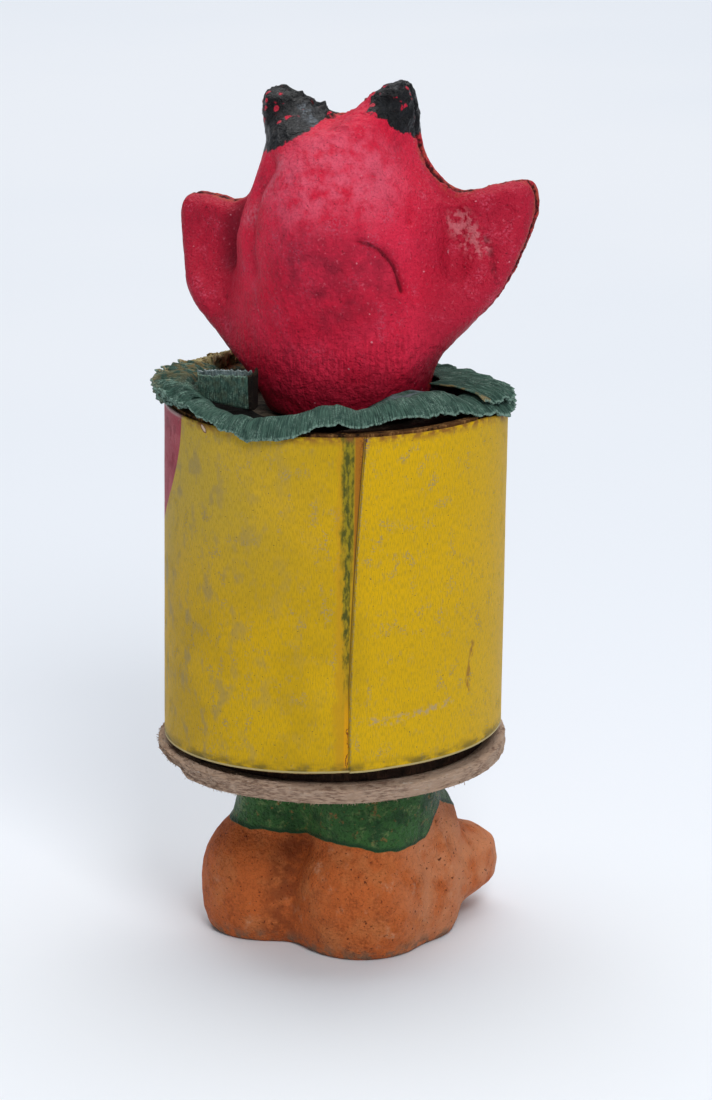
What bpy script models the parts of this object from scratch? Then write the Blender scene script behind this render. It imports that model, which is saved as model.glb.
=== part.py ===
"""A Halloween candy container: a composition devil's head on a card tube with a pull-out plug.

Metres, +Z up. The head faces -Y. The origin is on the soles, below the tube's axis.
The ruffle's loose ends, the wrap's glued seam and the heels are at the back.
"""

import math

import bmesh
import bpy
import numpy as np
from mathutils import Matrix, Vector

# Places round the object are degrees from the middle of its back, to the right as seen from behind

BACK_SIDE = math.radians(110)

# Fits

GAP = 0.0003  # air between two pieces that touch or are glued
SLEEVE_CLEARANCE = 0.0005  # between the plug's sleeve and the tube it slides in

# Feet and plug

FEET_HEIGHT = 0.0268
FEET_TURN = math.radians(-12)  # the plug was pushed in a little askew
DISC_DIAMETER = 0.0518
DISC_THICKNESS = 0.0021
DISC_WARP = 0.0007  # how far its edge has curled up, on the side the tube leans to
LOST_FROM = -92.0  # the disc's lower layers have split off between these two places
LOST_TO = -57.0
LOST_FADE = 6.0
SLEEVE_HEIGHT = 0.0120
SLEEVE_WALL = 0.0010

# Tube, its paper and its top

TUBE_DIAMETER = 0.0488
TUBE_WALL = 0.0012
TUBE_LENGTH = 0.0505
TUBE_TURN = math.radians(27.5)  # the seam against the head's back
TUBE_LEAN = math.radians(0.7)
LEAN_SIDE = math.radians(200)  # the side that the tube leans to
FOOT_CUT_ANGLE = math.radians(2.8)  # the lower end was cut out of square
FOOT_CUT_SIDE = math.radians(177)  # its short side
PAPER_THICKNESS = 0.0003
PAPER_MARGIN = 0.0003  # the paper stops this far short of the card's two ends
OVERLAP_WIDTH = 0.0019
RIM_DIP = 0.0019  # how far the rim is worn down, to the far right as seen from behind
DIP_FROM = 72.0
DIP_TO = 161.0
DIP_FADE = 18.0
TOP_DISC_THICKNESS = 0.0015
TOP_DISC_DEPTH = 0.0022  # below the tube's rim

# Head

HEAD_HEIGHT = 0.0456  # from the mould's lower end to the horn tips, before the neck is trimmed
NECK_TRIM = -0.0010  # where the neck is cut off, from the mould's own zero
HEAD_TILT = math.radians(5.7)
HEAD_SHIFT = 0.0026  # the neck is glued on off centre, towards LEAN_SIDE

# Ruffle

RUFFLE_REACH = 0.0013  # how far its edge stands out past the wrap
RUFFLE_EDGE_THICKNESS = 0.0009
RUFFLE_NECK_CLEARANCE = 0.0026

# What follows from them

TUBE_RADIUS = TUBE_DIAMETER / 2
WRAP_INNER_RADIUS = TUBE_RADIUS + GAP
WRAP_RADIUS = WRAP_INNER_RADIUS + PAPER_THICKNESS
DISC_BOTTOM = FEET_HEIGHT + GAP
DISC_TOP = DISC_BOTTOM + DISC_THICKNESS
FOOT_SLOPE = math.tan(FOOT_CUT_ANGLE)
TUBE_BASE = DISC_TOP + GAP + WRAP_RADIUS * math.tan(FOOT_CUT_ANGLE)
LEAN_WAY = Vector((math.cos(LEAN_SIDE), math.sin(LEAN_SIDE), 0))
TUBE_TOP_CENTRE = Vector((0, 0, TUBE_BASE)) + TUBE_LENGTH * (
    LEAN_WAY * math.sin(TUBE_LEAN) + Vector((0, 0, math.cos(TUBE_LEAN)))
)
TOP_DISC_TOP = TUBE_TOP_CENTRE.z - TOP_DISC_DEPTH


def smooth_step(value, start, end):
    """0 before start, 1 after end, and an S-curve between them."""
    share = np.clip((value - start) / (end - start), 0, 1)
    return share * share * (3 - 2 * share)


def soft_max(first, second, blend):
    """The larger of two values, rounded over where they are within blend of each other."""
    return (first + second + np.sqrt((first - second) ** 2 + blend**2)) / 2


def make_material(name, colour, roughness, metallic=0.0):
    material = bpy.data.materials.new(name)
    material.use_nodes = True
    shader = material.node_tree.nodes["Principled BSDF"]
    shader.inputs["Base Color"].default_value = (*colour, 1)
    shader.inputs["Roughness"].default_value = roughness
    shader.inputs["Metallic"].default_value = metallic
    return material


def mesh_of_rings(rings, looped=False):
    """A closed skin over rings of points. The end rings are capped, or joined if looped."""
    shape = bmesh.new()
    corners = [[shape.verts.new(point) for point in ring] for ring in rings]
    pairs = list(zip(corners, corners[1:]))
    if looped:
        pairs.append((corners[-1], corners[0]))
    else:
        shape.faces.new(corners[0])
        shape.faces.new(corners[-1])
    for lower, upper in pairs:
        for i in range(len(lower)):
            j = (i + 1) % len(lower)
            shape.faces.new((lower[i], lower[j], upper[j], upper[i]))
    bmesh.ops.recalc_face_normals(shape, faces=shape.faces)
    return shape


def add_object(name, shape, material, location=(0, 0, 0), turn=0.0, sharp=math.radians(35)):
    mesh = bpy.data.meshes.new(name)
    bmesh.ops.triangulate(shape, faces=shape.faces)
    shape.to_mesh(mesh)
    shape.free()
    mesh.materials.append(material)
    mesh.shade_smooth()
    mesh.set_sharp_from_angle(angle=sharp)
    thing = bpy.data.objects.new(name, mesh)
    thing.location = location
    thing.rotation_euler.z = turn
    bpy.context.scene.collection.objects.link(thing)
    return thing


# Feet. Boots and trouser ends are one moulding: round lobes run together, cut flat below and above.
# The lobes are in the moulding's own unit, a twenty-seventh of its height.

FEET_UNIT = FEET_HEIGHT / 27
FEET_AROUND = 60
FEET_MIDDLE = (0.8, -0.5)
FEET_LEVELS = (0, 0.5, 1.4, 3, 5, 7.5, 10, 12.2, 14, 15.2, 16.2, 17.4, 19.5, 22, 24.5, 27)
#               name           side, ahead, up,  half-width, half-length, half-height
FEET_LOBES = {
    "right_heel": (8.9, -5.6, 7.0, 9.8, 10.0, 10.6),
    "right_side": (12.6, 2.6, 5.5, 6.6, 7.5, 8.4),
    "right_toe": (12.6, 13.0, 7.8, 6.6, 9.8, 5.6),
    "right_instep": (10.8, 5.0, 12.5, 7.0, 8.5, 10.0),
    "left_heel": (-7.9, -7.0, 7.2, 9.4, 9.4, 11.0),
    "left_side": (-10.5, 2.0, 5.5, 6.8, 7.5, 8.4),
    "left_toe": (-10.6, 12.4, 7.8, 6.6, 9.8, 5.6),
    "left_instep": (-8.3, 4.2, 12.5, 7.0, 8.5, 10.0),
    "right_leg": (8.2, -1.8, 22.0, 9.3, 10.8, 11.5),
    "left_leg": (-5.0, -2.6, 22.0, 8.2, 9.8, 11.5),
    "sole": (0.8, 0.5, 2.0, 13.5, 12.5, 5.0),
}
FEET_BLEND = 0.9


def feet_depth(side, ahead, up):
    """Below 0 inside the moulding, about its distance from the surface."""
    total = 0
    for middle_side, middle_ahead, middle_up, wide, long, high in FEET_LOBES.values():
        power = np.where(up < middle_up, 3.0, 2.2)
        lift = np.abs((up - middle_up) / high) ** power
        flat = ((side - middle_side) / wide) ** 2 + ((ahead - middle_ahead) / long) ** 2
        depth = (np.sqrt(flat + lift) - 1) * min(wide, long, high)
        total = total + np.exp(-depth / FEET_BLEND)
    return -FEET_BLEND * np.log(total)


def feet_ring(up):
    """The moulding's outline at one level, found by walking in from outside."""
    reach = np.linspace(30, 1, 233)
    ring = []
    for i in range(FEET_AROUND):
        angle = math.tau * i / FEET_AROUND
        side = FEET_MIDDLE[0] + reach * math.cos(angle)
        ahead = FEET_MIDDLE[1] + reach * math.sin(angle)
        depth = feet_depth(side, ahead, up)
        first = max(1, int(np.argmax(depth < 0)))
        share = depth[first - 1] / (depth[first - 1] - depth[first])
        radius = reach[first - 1] + share * (reach[first] - reach[first - 1])
        # seen from behind, side runs to the right, so it is -X, and ahead is -Y
        ring.append(
            FEET_UNIT
            * Vector(
                (
                    -FEET_MIDDLE[0] - radius * math.cos(angle),
                    -FEET_MIDDLE[1] - radius * math.sin(angle),
                    up,
                )
            )
        )
    return ring


def make_feet():
    shape = mesh_of_rings([feet_ring(up) for up in FEET_LEVELS])
    material = make_material("orange_composition", (0.52, 0.17, 0.05), 0.75)
    add_object("feet", shape, material, turn=FEET_TURN, sharp=math.radians(50))


# Plug: a chipboard disc with a card sleeve glued on.

AROUND = 72


def ring_of(radius_at, height_at, count=AROUND):
    """A ring of points whose radius and height are functions of the angle."""
    ring = []
    for i in range(count):
        angle = math.tau * i / count
        radius = radius_at(angle)
        height = height_at(radius, angle)
        ring.append(Vector((radius * math.cos(angle), radius * math.sin(angle), height)))
    return ring


def disc_edge(angle):
    """The hand-cut edge, a little out of round."""
    return DISC_DIAMETER / 2 * (1 + 0.004 * math.sin(3 * angle + 1) + 0.003 * math.sin(7 * angle))


def from_back(angle):
    """Degrees round from the middle of the back, to the right as seen from behind."""
    return (math.degrees(angle - BACK_SIDE) + 180) % 360 - 180


def lost_layers(angle):
    """1 where the board's lower layers have split off along the edge, and 0 elsewhere."""
    place = from_back(angle)
    start = smooth_step(place, LOST_FROM - LOST_FADE, LOST_FROM + LOST_FADE)
    end = smooth_step(place, LOST_TO - LOST_FADE, LOST_TO + LOST_FADE)
    return float(start * (1 - end))


def rim_dip(angle):
    """How far the tube's rim is worn down at a world angle."""
    place = from_back(angle)
    start = smooth_step(place, DIP_FROM - DIP_FADE, DIP_FROM + DIP_FADE)
    end = smooth_step(place, DIP_TO - DIP_FADE, DIP_TO + DIP_FADE)
    return RIM_DIP * float(start * (1 - end))


def make_disc():
    lost = 0.5 * DISC_THICKNESS

    def warp(radius, angle):
        rim = float(smooth_step(radius / (DISC_DIAMETER / 2), 0.89, 1.0))
        return DISC_WARP * rim * max(0, math.cos(angle - LEAN_SIDE)) ** 2

    def under(radius, angle):
        rim = float(smooth_step(radius / (DISC_DIAMETER / 2), 0.86, 0.95))
        return DISC_BOTTOM + warp(radius, angle) + rim * lost * lost_layers(angle)

    def over(radius, angle):
        return DISC_TOP + warp(radius, angle)

    rings = [
        ring_of(lambda a: 0.4 * disc_edge(a), under),
        ring_of(lambda a: 0.84 * disc_edge(a), under),
        ring_of(lambda a: 0.975 * disc_edge(a), under),
        ring_of(disc_edge, lambda r, a: under(r, a) + 0.2 * DISC_THICKNESS),
        ring_of(disc_edge, lambda r, a: over(r, a) - 0.2 * DISC_THICKNESS),
        ring_of(lambda a: 0.98 * disc_edge(a), over),
        ring_of(lambda a: 0.87 * disc_edge(a), over),
        ring_of(lambda a: 0.4 * disc_edge(a), over),
    ]
    material = make_material("grey_chipboard", (0.28, 0.20, 0.15), 0.95)
    add_object("base_disc", mesh_of_rings(rings), material)


def make_pipe(outer, inner, bottom_at, top_at):
    """A round wall between two radii. Its ends are functions of the radius and angle."""
    rings = [
        ring_of(lambda a: outer, bottom_at),
        ring_of(lambda a: outer, top_at),
        ring_of(lambda a: inner, top_at),
        ring_of(lambda a: inner, bottom_at),
    ]
    return mesh_of_rings(rings, looped=True)


def make_sleeve():
    outer = TUBE_RADIUS - TUBE_WALL - SLEEVE_CLEARANCE
    bottom = DISC_TOP + GAP
    shape = make_pipe(
        outer, outer - SLEEVE_WALL, lambda r, a: bottom, lambda r, a: bottom + SLEEVE_HEIGHT
    )
    add_object("plug_sleeve", shape, make_material("brown_card", (0.05, 0.03, 0.02), 0.95))


# Tube and wrap, in the tube's own frame: z runs along its axis and the seam is at +Y.

LEAN_TURNED = LEAN_SIDE - TUBE_TURN
FOOT_CUT_TURNED = FOOT_CUT_SIDE - TUBE_TURN


def tube_foot(radius, angle):
    """The lower end, cut on the slant."""
    return radius * FOOT_SLOPE * math.cos(angle - FOOT_CUT_TURNED)


def tube_rim(radius, angle):
    """The upper end, level when the tube leans, but for its worn side."""
    level = TUBE_LENGTH + radius * math.tan(TUBE_LEAN) * math.cos(angle - LEAN_TURNED)
    return level - rim_dip(angle + TUBE_TURN)


def make_tube_axis():
    axis = bpy.data.objects.new("tube_axis", None)
    bpy.context.scene.collection.objects.link(axis)
    away = Vector((0, 0, 1)).cross(LEAN_WAY)
    lean = Matrix.Rotation(TUBE_LEAN, 4, away)
    turn = Matrix.Rotation(TUBE_TURN, 4, "Z")
    axis.matrix_world = Matrix.Translation((0, 0, TUBE_BASE)) @ lean @ turn
    return axis


def make_tube(axis):
    shape = make_pipe(TUBE_RADIUS, TUBE_RADIUS - TUBE_WALL, tube_foot, tube_rim)
    tube = add_object("tube", shape, make_material("card", (0.20, 0.12, 0.06), 0.9))
    tube.parent = axis


def wrap_lift(turned, whole):
    """How far the paper stands off at a place along its length: its last end rides over its first."""
    rise = 3 * OVERLAP_WIDTH / WRAP_RADIUS
    over = whole - OVERLAP_WIDTH / WRAP_RADIUS
    return (PAPER_THICKNESS + GAP / 2) * float(smooth_step(turned, over - rise, over))


def make_wrap(axis):
    """One strip of paper rolled round the card, with its free edge at the seam."""
    overlap = OVERLAP_WIDTH / WRAP_RADIUS
    whole = math.tau + overlap
    start = math.pi / 2 + overlap / 2
    steps = list(np.linspace(0, whole - 4 * overlap, AROUND))
    steps += list(np.linspace(whole - 4 * overlap, whole, 7))[1:]
    sections = []
    for turned in steps:
        angle = start - turned
        inner = WRAP_INNER_RADIUS + wrap_lift(turned, whole)
        section = []
        for radius, end in (
            (inner, tube_foot),
            (inner + PAPER_THICKNESS, tube_foot),
            (inner + PAPER_THICKNESS, tube_rim),
            (inner, tube_rim),
        ):
            margin = PAPER_MARGIN if end is tube_foot else -PAPER_MARGIN
            height = end(radius, angle) + margin
            section.append(Vector((radius * math.cos(angle), radius * math.sin(angle), height)))
        sections.append(section)
    wrap = add_object(
        "wrap", mesh_of_rings(sections), make_material("yellow_paper", (0.58, 0.39, 0.02), 0.7)
    )
    wrap.parent = axis


def make_top_disc():
    radius = TUBE_RADIUS - TUBE_WALL - GAP
    rings = [
        ring_of(lambda a: radius, lambda r, a: TOP_DISC_TOP - TOP_DISC_THICKNESS),
        ring_of(lambda a: radius, lambda r, a: TOP_DISC_TOP),
    ]
    place = (TUBE_TOP_CENTRE.x, TUBE_TOP_CENTRE.y, 0)
    material = make_material("grey_card", (0.24, 0.19, 0.14), 0.95)
    add_object("top_disc", mesh_of_rings(rings), material, location=place)


# Head, moulded in two halves. Its outline is the mould's seam. The head's own unit is a
# forty-sixth of its height; side runs right as seen from behind, up runs to the horn tips.

HEAD_UNIT = HEAD_HEIGHT / 45.6
HEAD_AROUND = 240
HEAD_RINGS = 64  # on each side of the seam
HEAD_CENTRE = 0.04  # the innermost ring's share of the way out
HEAD_TRIANGLES = 3800
HEAD_MIDDLE_UP = 20.0
HALF_OUTLINE = (
    (0.0, -5.0),
    (8.0, -4.9),
    (11.0, -3.6),
    (12.1, 2.0),
    (14.2, 5.6),
    (18.2, 9.4),
    (21.6, 12.6),
    (24.4, 16.0),
    (26.3, 20.4),
    (27.5, 25.0),
    (27.3, 28.2),
    (25.9, 29.6),
    (21.6, 29.3),
    (17.0, 28.9),
    (13.0, 32.4),
    (11.5, 37.0),
    (11.7, 41.8),
    (10.9, 44.9),
    (8.8, 45.3),
    (5.6, 43.8),
    (2.6, 41.6),
    (0.0, 40.9),
)
BALL_UP = 21.5
BALL_AHEAD = 3.0
BALL_RADIUS = 15.2
BALL_HALF_WIDTH = 17.0
TEMPLE_NARROWING = 6.0
JAW_WIDENING = 3.0
NECK_NARROWING = 6.8
BALL_RISE = 21.0  # from its widest place up to the crown
BALL_DROP = 26.0  # and down into the neck
FLANK_EASE = 0.85  # 0.5 would make the sides as upright as a true ball's
NECK_HALF_WIDTH = 11.6
NECK_HALF_DEPTH = 9.9
FACE_UP = 19.5
FACE_AHEAD = 5.0
EAR_DEPTH = 2.4
RIM_ROUNDING = 1.8  # the skin curves over to the seam within this distance


def curve_through(points, count):
    """A closed smooth curve through the points, as evenly spaced samples."""
    points = np.array(points, float)
    before = np.roll(points, 1, axis=0)
    after = np.roll(points, -1, axis=0)
    beyond = np.roll(points, -2, axis=0)
    fine = []
    for share in np.linspace(0, 1, 24, endpoint=False):
        fine.append(
            0.5
            * (
                2 * points
                + (after - before) * share
                + (2 * before - 5 * points + 4 * after - beyond) * share**2
                + (3 * points - before - 3 * after + beyond) * share**3
            )
        )
    fine = np.stack(fine, axis=1).reshape(-1, 2)
    closed = np.vstack([fine, fine[:1]])
    along = np.concatenate([[0], np.cumsum(np.linalg.norm(np.diff(closed, axis=0), axis=1))])
    wanted = np.linspace(0, along[-1], count, endpoint=False)
    return np.stack([np.interp(wanted, along, closed[:, k]) for k in range(2)], axis=1)


def seam_ahead(side, up):
    """How far in front of the neck's middle the mould's seam runs: it sweeps forward at the ears."""
    return 7.3 * smooth_step(up, 6, 26) + 3.6 * smooth_step(np.abs(side), 15, 26) * smooth_step(
        up, 16, 28
    )


def round_part(side, up, middle_up, half_width, half_height, depth):
    """Half of a ball or egg: its depth over a place, and 0 outside its outline."""
    flat = (side / half_width) ** 2 + ((up - middle_up) / half_height) ** 2
    return depth * np.sqrt(np.clip(1 - flat, 0, None))


def ball_depth(side, up):
    """The back of the skull: round from crown to neck, and easing off towards the ears."""
    half_height = np.where(up > BALL_UP, BALL_RISE, BALL_DROP)
    upright = np.sqrt(np.clip(1 - ((up - BALL_UP) / half_height) ** 2, 0, None))
    half_width = BALL_HALF_WIDTH - TEMPLE_NARROWING * smooth_step(up, 22, 40)
    half_width = half_width + JAW_WIDENING * (1 - smooth_step(up, 11, 22))
    half_width = half_width - NECK_NARROWING * (1 - smooth_step(up, -2, 10))
    across = np.clip(1 - (side / half_width) ** 2, 0, None) ** FLANK_EASE
    return BALL_RADIUS * upright * across


def horn_depth(side, up):
    """A blunt cone from the crown to the horn's tip, with a round section."""
    root = np.array((6.4, 37.5))
    tip = np.array((10.0, 44.3))
    way = tip - root
    across = np.abs(side) - root[0]
    along = np.clip((across * way[0] + (up - root[1]) * way[1]) / (way @ way), 0, 1)
    off = (across - along * way[0]) ** 2 + (up - root[1] - along * way[1]) ** 2
    radius = 6.4 - 4.4 * along
    return np.sqrt(np.clip(radius**2 - off, 0, None))


def neck_depth(side, up):
    """The neck's depth either side of its middle. It fades out upwards inside the skull."""
    wide = NECK_HALF_WIDTH + 0.5 * np.clip(up, -3, 14)
    shape = np.sqrt(np.clip(1 - (side / wide) ** 2, 0, None))
    return NECK_HALF_DEPTH * shape * (1 - smooth_step(up, 3, 16))


def back_depth(side, up, inset):
    """How far the back stands behind the seam, at places so far in from the outline."""
    seam = seam_ahead(side, up)
    ball = ball_depth(side, up)
    ball = ball + (seam - BALL_AHEAD * smooth_step(up, 0, 14)) * smooth_step(ball, 0, 6)
    neck = neck_depth(side, up) + seam * (1 - smooth_step(up, 3, 16))
    jowl = 2.2 * np.sqrt(inset) * smooth_step(-up, -22, -12) * smooth_step(up, 0, 6)
    body = soft_max(soft_max(ball, neck, 2.0), EAR_DEPTH, 3.0)
    body = soft_max(body, jowl, 2.0)
    return soft_max(body, horn_depth(side, up) * 0.86, 1.6)


def hump(side, up, middle_side, middle_up, wide, high):
    """A soft mound, 1 at its middle."""
    return np.exp(-(((side - middle_side) / wide) ** 2) - ((up - middle_up) / high) ** 2)


def face_relief(side, up):
    """Brows, eyes, nose, cheeks, mouth and pointed chin, as heights over the face."""
    outer = np.abs(side)
    slant = up - 0.38 * (outer - 5)
    brow = 2.1 * np.exp(-(((slant - 28.4) / 1.7) ** 2)) * smooth_step(outer, 0.5, 3)
    brow = brow * (1 - smooth_step(outer, 10, 12.5))
    socket = -1.5 * hump(outer, up, 5.4, 24.6, 3.6, 2.4)
    eye = 1.9 * hump(outer, up, 5.3, 24.5, 2.3, 1.7)
    bridge = smooth_step(up, 16.2, 19.2) * (1 - smooth_step(up, 26, 29))
    length = 1.2 + 4.2 * smooth_step(-up, -27, -18.5)
    nose = length * bridge * np.exp(-((side / (1.9 + 0.14 * (28 - up))) ** 2))
    nostril = 1.3 * hump(outer, up, 2.6, 18.8, 1.6, 1.6)
    cheek = 1.9 * hump(outer, up, 8.6, 19.0, 3.4, 3.2)
    lip_line = 12.6 + 0.045 * side**2
    ends = 1 - smooth_step(outer, 7.0, 9.0)
    lips = 0.9 * np.exp(-(((np.abs(up - lip_line) - 1.6) / 1.2) ** 2)) * ends
    parting = -0.8 * np.exp(-(((up - lip_line) / 1.0) ** 2)) * ends
    chin = 3.6 * hump(side, up, 0, 6.8, 3.4, 3.2)
    return brow + socket + eye + nose + nostril + cheek + lips + parting + chin


def front_depth(side, up, inset):
    """How far the face stands in front of the seam, at places so far in from the outline."""
    seam = seam_ahead(side, up)
    face = round_part(side, up, FACE_UP, 15.5, 19.5, 12.5)
    inside = smooth_step(face, 0, 5)
    face = (face + FACE_AHEAD - seam) * inside
    face = face + face_relief(side, up) * inside
    skull = round_part(side, up, BALL_UP, BALL_RADIUS, BALL_RADIUS, BALL_RADIUS - 8)
    neck = np.clip(neck_depth(side, up) - seam, 0, None)
    ear_hollow = hump(np.abs(side), up, 21.5, 22.5, 3.0, 4.5)
    ear = 2.2 - 1.3 * ear_hollow + 0.4 * np.sqrt(inset)
    body = soft_max(soft_max(face, neck, 2.0), soft_max(skull, ear, 2.0), 2.0)
    return soft_max(body, horn_depth(side, up) * 0.86, 1.6)


def distance_in(side, up, outline):
    """How far places lie in from the outline."""
    ahead = np.roll(outline, -1, axis=0) - outline
    to_point = np.stack([side, up], axis=1)[:, None, :] - outline[None]
    share = np.clip((to_point * ahead).sum(2) / (ahead**2).sum(1), 0, 1)
    return np.linalg.norm(to_point - share[..., None] * ahead, axis=2).min(axis=1)


def head_ring(share, outline, depth_of, way):
    """One ring of the head's skin, a share of the way out to the seam."""
    middle = np.array((0.0, HEAD_MIDDLE_UP))
    places = middle + share * (outline - middle)
    side = places[:, 0]
    up = places[:, 1]
    inset = distance_in(side, up, outline)
    rounding = np.sqrt(1 - (1 - np.clip(inset / RIM_ROUNDING, 0, 1)) ** 2)
    depth = depth_of(side, up, inset) * rounding
    ahead = seam_ahead(side, up) + way * depth
    return [HEAD_UNIT * Vector((-s, -a, u)) for s, a, u in zip(side, ahead, up)]


def make_head():
    right = list(HALF_OUTLINE)
    left = [(-side, up) for side, up in right[-2:0:-1]]
    outline = curve_through(right + left, HEAD_AROUND)
    steps = np.linspace(0, math.pi / 2, HEAD_RINGS)
    shares = HEAD_CENTRE + (1 - HEAD_CENTRE) * np.sin(steps)
    rings = [head_ring(share, outline, back_depth, -1) for share in shares]
    rings += [head_ring(share, outline, front_depth, 1) for share in shares[-2::-1]]
    shape = mesh_of_rings(rings)
    shape.transform(Matrix.Rotation(HEAD_TILT, 4, "Y"))
    cut = bmesh.ops.bisect_plane(
        shape,
        geom=list(shape.verts) + list(shape.edges) + list(shape.faces),
        plane_co=(0, 0, NECK_TRIM),
        plane_no=(0, 0, -1),
        clear_outer=True,
    )
    edges = [part for part in cut["geom_cut"] if isinstance(part, bmesh.types.BMEdge)]
    bmesh.ops.edgeloop_fill(shape, edges=edges)
    bmesh.ops.recalc_face_normals(shape, faces=shape.faces)
    place = TUBE_TOP_CENTRE + HEAD_PLACE_SHIFT
    place.z = TOP_DISC_TOP + GAP - NECK_TRIM
    material = make_material("red_composition", (0.56, 0.03, 0.06), 0.6)
    head = add_object("head", shape, material, location=place, sharp=math.radians(55))
    fewer = head.modifiers.new("fewer_triangles", "DECIMATE")
    fewer.ratio = HEAD_TRIANGLES / len(head.data.polygons)
    fewer.use_collapse_triangulate = True


HEAD_PLACE_SHIFT = LEAN_WAY * (HEAD_SHIFT - TUBE_LENGTH * math.sin(TUBE_LEAN))

# Ruffle, in stations round the tube's top. Degrees run from the loose ends, to the right as seen
# from behind. Heights are above the tube's rim.

RUFFLE_AROUND = 72
#    degrees, edge lift, lost reach, crest, inner height
RUFFLE_STATIONS = (
    (-180, 0.0006, 0.0006, 0.0012, 0.0020),
    (-150, 0.0010, 0.0005, 0.0016, 0.0036),
    (-120, 0.0008, 0.0002, 0.0022, 0.0046),
    (-90, -0.0005, 0.0000, 0.0030, 0.0048),
    (-62, -0.0002, 0.0001, 0.0046, 0.0048),
    (-38, -0.0011, 0.0000, 0.0052, 0.0050),
    (-31, -0.0009, 0.0001, 0.0028, 0.0012),
    (-20, -0.0003, 0.0003, 0.0027, 0.0010),
    (-4, 0.0016, 0.0018, 0.0026, 0.0008),
    (14, 0.0013, 0.0019, 0.0026, 0.0008),
    (40, 0.0019, 0.0024, 0.0026, 0.0010),
    (60, 0.0011, 0.0014, 0.0022, 0.0012),
    (78, -0.0004, 0.0003, 0.0013, 0.0012),
    (96, 0.0004, 0.0003, 0.0010, 0.0010),
    (125, 0.0004, 0.0008, 0.0009, 0.0010),
    (155, 0.0004, 0.0008, 0.0010, 0.0014),
)


def ruffle_station(place):
    """The edge's lift, the reach lost, the crest and the inner height at an angle."""
    columns = np.array(RUFFLE_STATIONS).T
    return [float(np.interp(place, columns[0], column, period=360)) for column in columns[1:]]


def ruffle_section(place):
    """The ruffle's cross-section: from the neck, out under the edge, and back over the crest."""
    angle = BACK_SIDE + math.radians(place)
    way = Vector((math.cos(angle), math.sin(angle), 0))
    lift, loss, crest, high = ruffle_station(place)
    half_wide = (NECK_HALF_WIDTH + 1.1) * HEAD_UNIT
    half_deep = NECK_HALF_DEPTH * HEAD_UNIT
    hole = RUFFLE_NECK_CLEARANCE + 1 / math.hypot(way.x / half_wide, way.y / half_deep)
    inner = HEAD_PLACE_SHIFT + way * hole
    reach = WRAP_RADIUS + RUFFLE_REACH - loss
    outer = way * reach
    under = min(0.955, (WRAP_RADIUS + GAP - hole) / (reach - hole))
    wave = 0.0004 * math.sin(math.radians(9 * place))
    wave += 0.0003 * math.sin(math.radians(17 * place))
    crest += wave * float(smooth_step(crest, 0.0008, 0.0020))
    edge_up = lift + RUFFLE_EDGE_THICKNESS / 2
    edge_down = max(lift - RUFFLE_EDGE_THICKNESS / 2, GAP if loss > 0.0004 else -1)
    standing = float(smooth_step(high, 0.0015, 0.0045))
    profile = (
        (0.0, GAP),
        (under, GAP),
        (1.0, edge_down),
        (1.0, edge_up),
        (0.80, edge_up + (crest - edge_up) * 0.7),
        (0.58, crest),
        (0.38, 0.6 * high + 0.4 * crest),
        (0.10 + 0.18 * standing, high),
    )
    points = []
    for share, height in profile:
        up = max(height, edge_down) - rim_dip(angle)
        points.append(inner + (outer - inner) * share + Vector((0, 0, up)))
    return points


def make_ruffle():
    step = 360 / RUFFLE_AROUND
    sections = [ruffle_section(step * i) for i in range(RUFFLE_AROUND)]
    material = make_material("green_crepe_paper", (0.05, 0.14, 0.10), 0.95)
    add_object(
        "collar",
        mesh_of_rings(sections, looped=True),
        material,
        location=TUBE_TOP_CENTRE,
        sharp=math.radians(60),
    )


def make_container():
    for thing in list(bpy.data.objects):
        bpy.data.objects.remove(thing, do_unlink=True)
    make_feet()
    make_disc()
    make_sleeve()
    axis = make_tube_axis()
    make_tube(axis)
    make_wrap(axis)
    make_top_disc()
    make_head()
    make_ruffle()


make_container()
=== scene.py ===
# %% [markdown]
# # A Halloween candy container, seen from behind
#
# The real thing is a card tube wrapped in yellow paper, with a devil's head of pressed pulp glued on
# top and a pair of pulp feet on the plug below. This lesson dresses its plain solids: it gives them
# pulp grain, a crepe-paper ruffle, worn paint and stained paper. The solids come first, as a fixed
# frame in metres, and nothing here moves them.

# %% Load the frame
import math
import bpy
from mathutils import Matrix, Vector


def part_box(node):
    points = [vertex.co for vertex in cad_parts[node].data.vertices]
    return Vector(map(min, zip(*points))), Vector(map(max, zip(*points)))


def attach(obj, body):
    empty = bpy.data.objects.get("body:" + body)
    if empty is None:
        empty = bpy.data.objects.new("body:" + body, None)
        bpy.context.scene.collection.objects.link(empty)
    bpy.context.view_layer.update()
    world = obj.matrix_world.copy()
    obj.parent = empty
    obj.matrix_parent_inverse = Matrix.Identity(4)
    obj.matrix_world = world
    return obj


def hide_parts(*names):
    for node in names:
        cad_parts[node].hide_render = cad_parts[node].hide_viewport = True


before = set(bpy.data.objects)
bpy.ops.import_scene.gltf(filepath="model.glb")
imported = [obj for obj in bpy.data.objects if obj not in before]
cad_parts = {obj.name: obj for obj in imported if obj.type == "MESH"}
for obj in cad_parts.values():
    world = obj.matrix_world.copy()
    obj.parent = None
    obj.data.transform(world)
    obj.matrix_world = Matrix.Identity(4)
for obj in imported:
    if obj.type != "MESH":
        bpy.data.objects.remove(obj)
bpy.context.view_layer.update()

from types import SimpleNamespace

import bmesh
import bpy
import numpy as np
from mathutils import Matrix, Vector, noise
from mathutils.bvhtree import BVHTree

MM = 0.001
print("solids:", sorted(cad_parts))

# %% [markdown]
# ## The camera
#
# It is made first, because many marks on this object are easiest to name by where the photograph
# shows them. A long lens far away keeps the tube's sides almost parallel. The helper below turns a
# pixel of the 712 x 1100 photograph into a ray, so that a mark can be found on the real surface.

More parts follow.
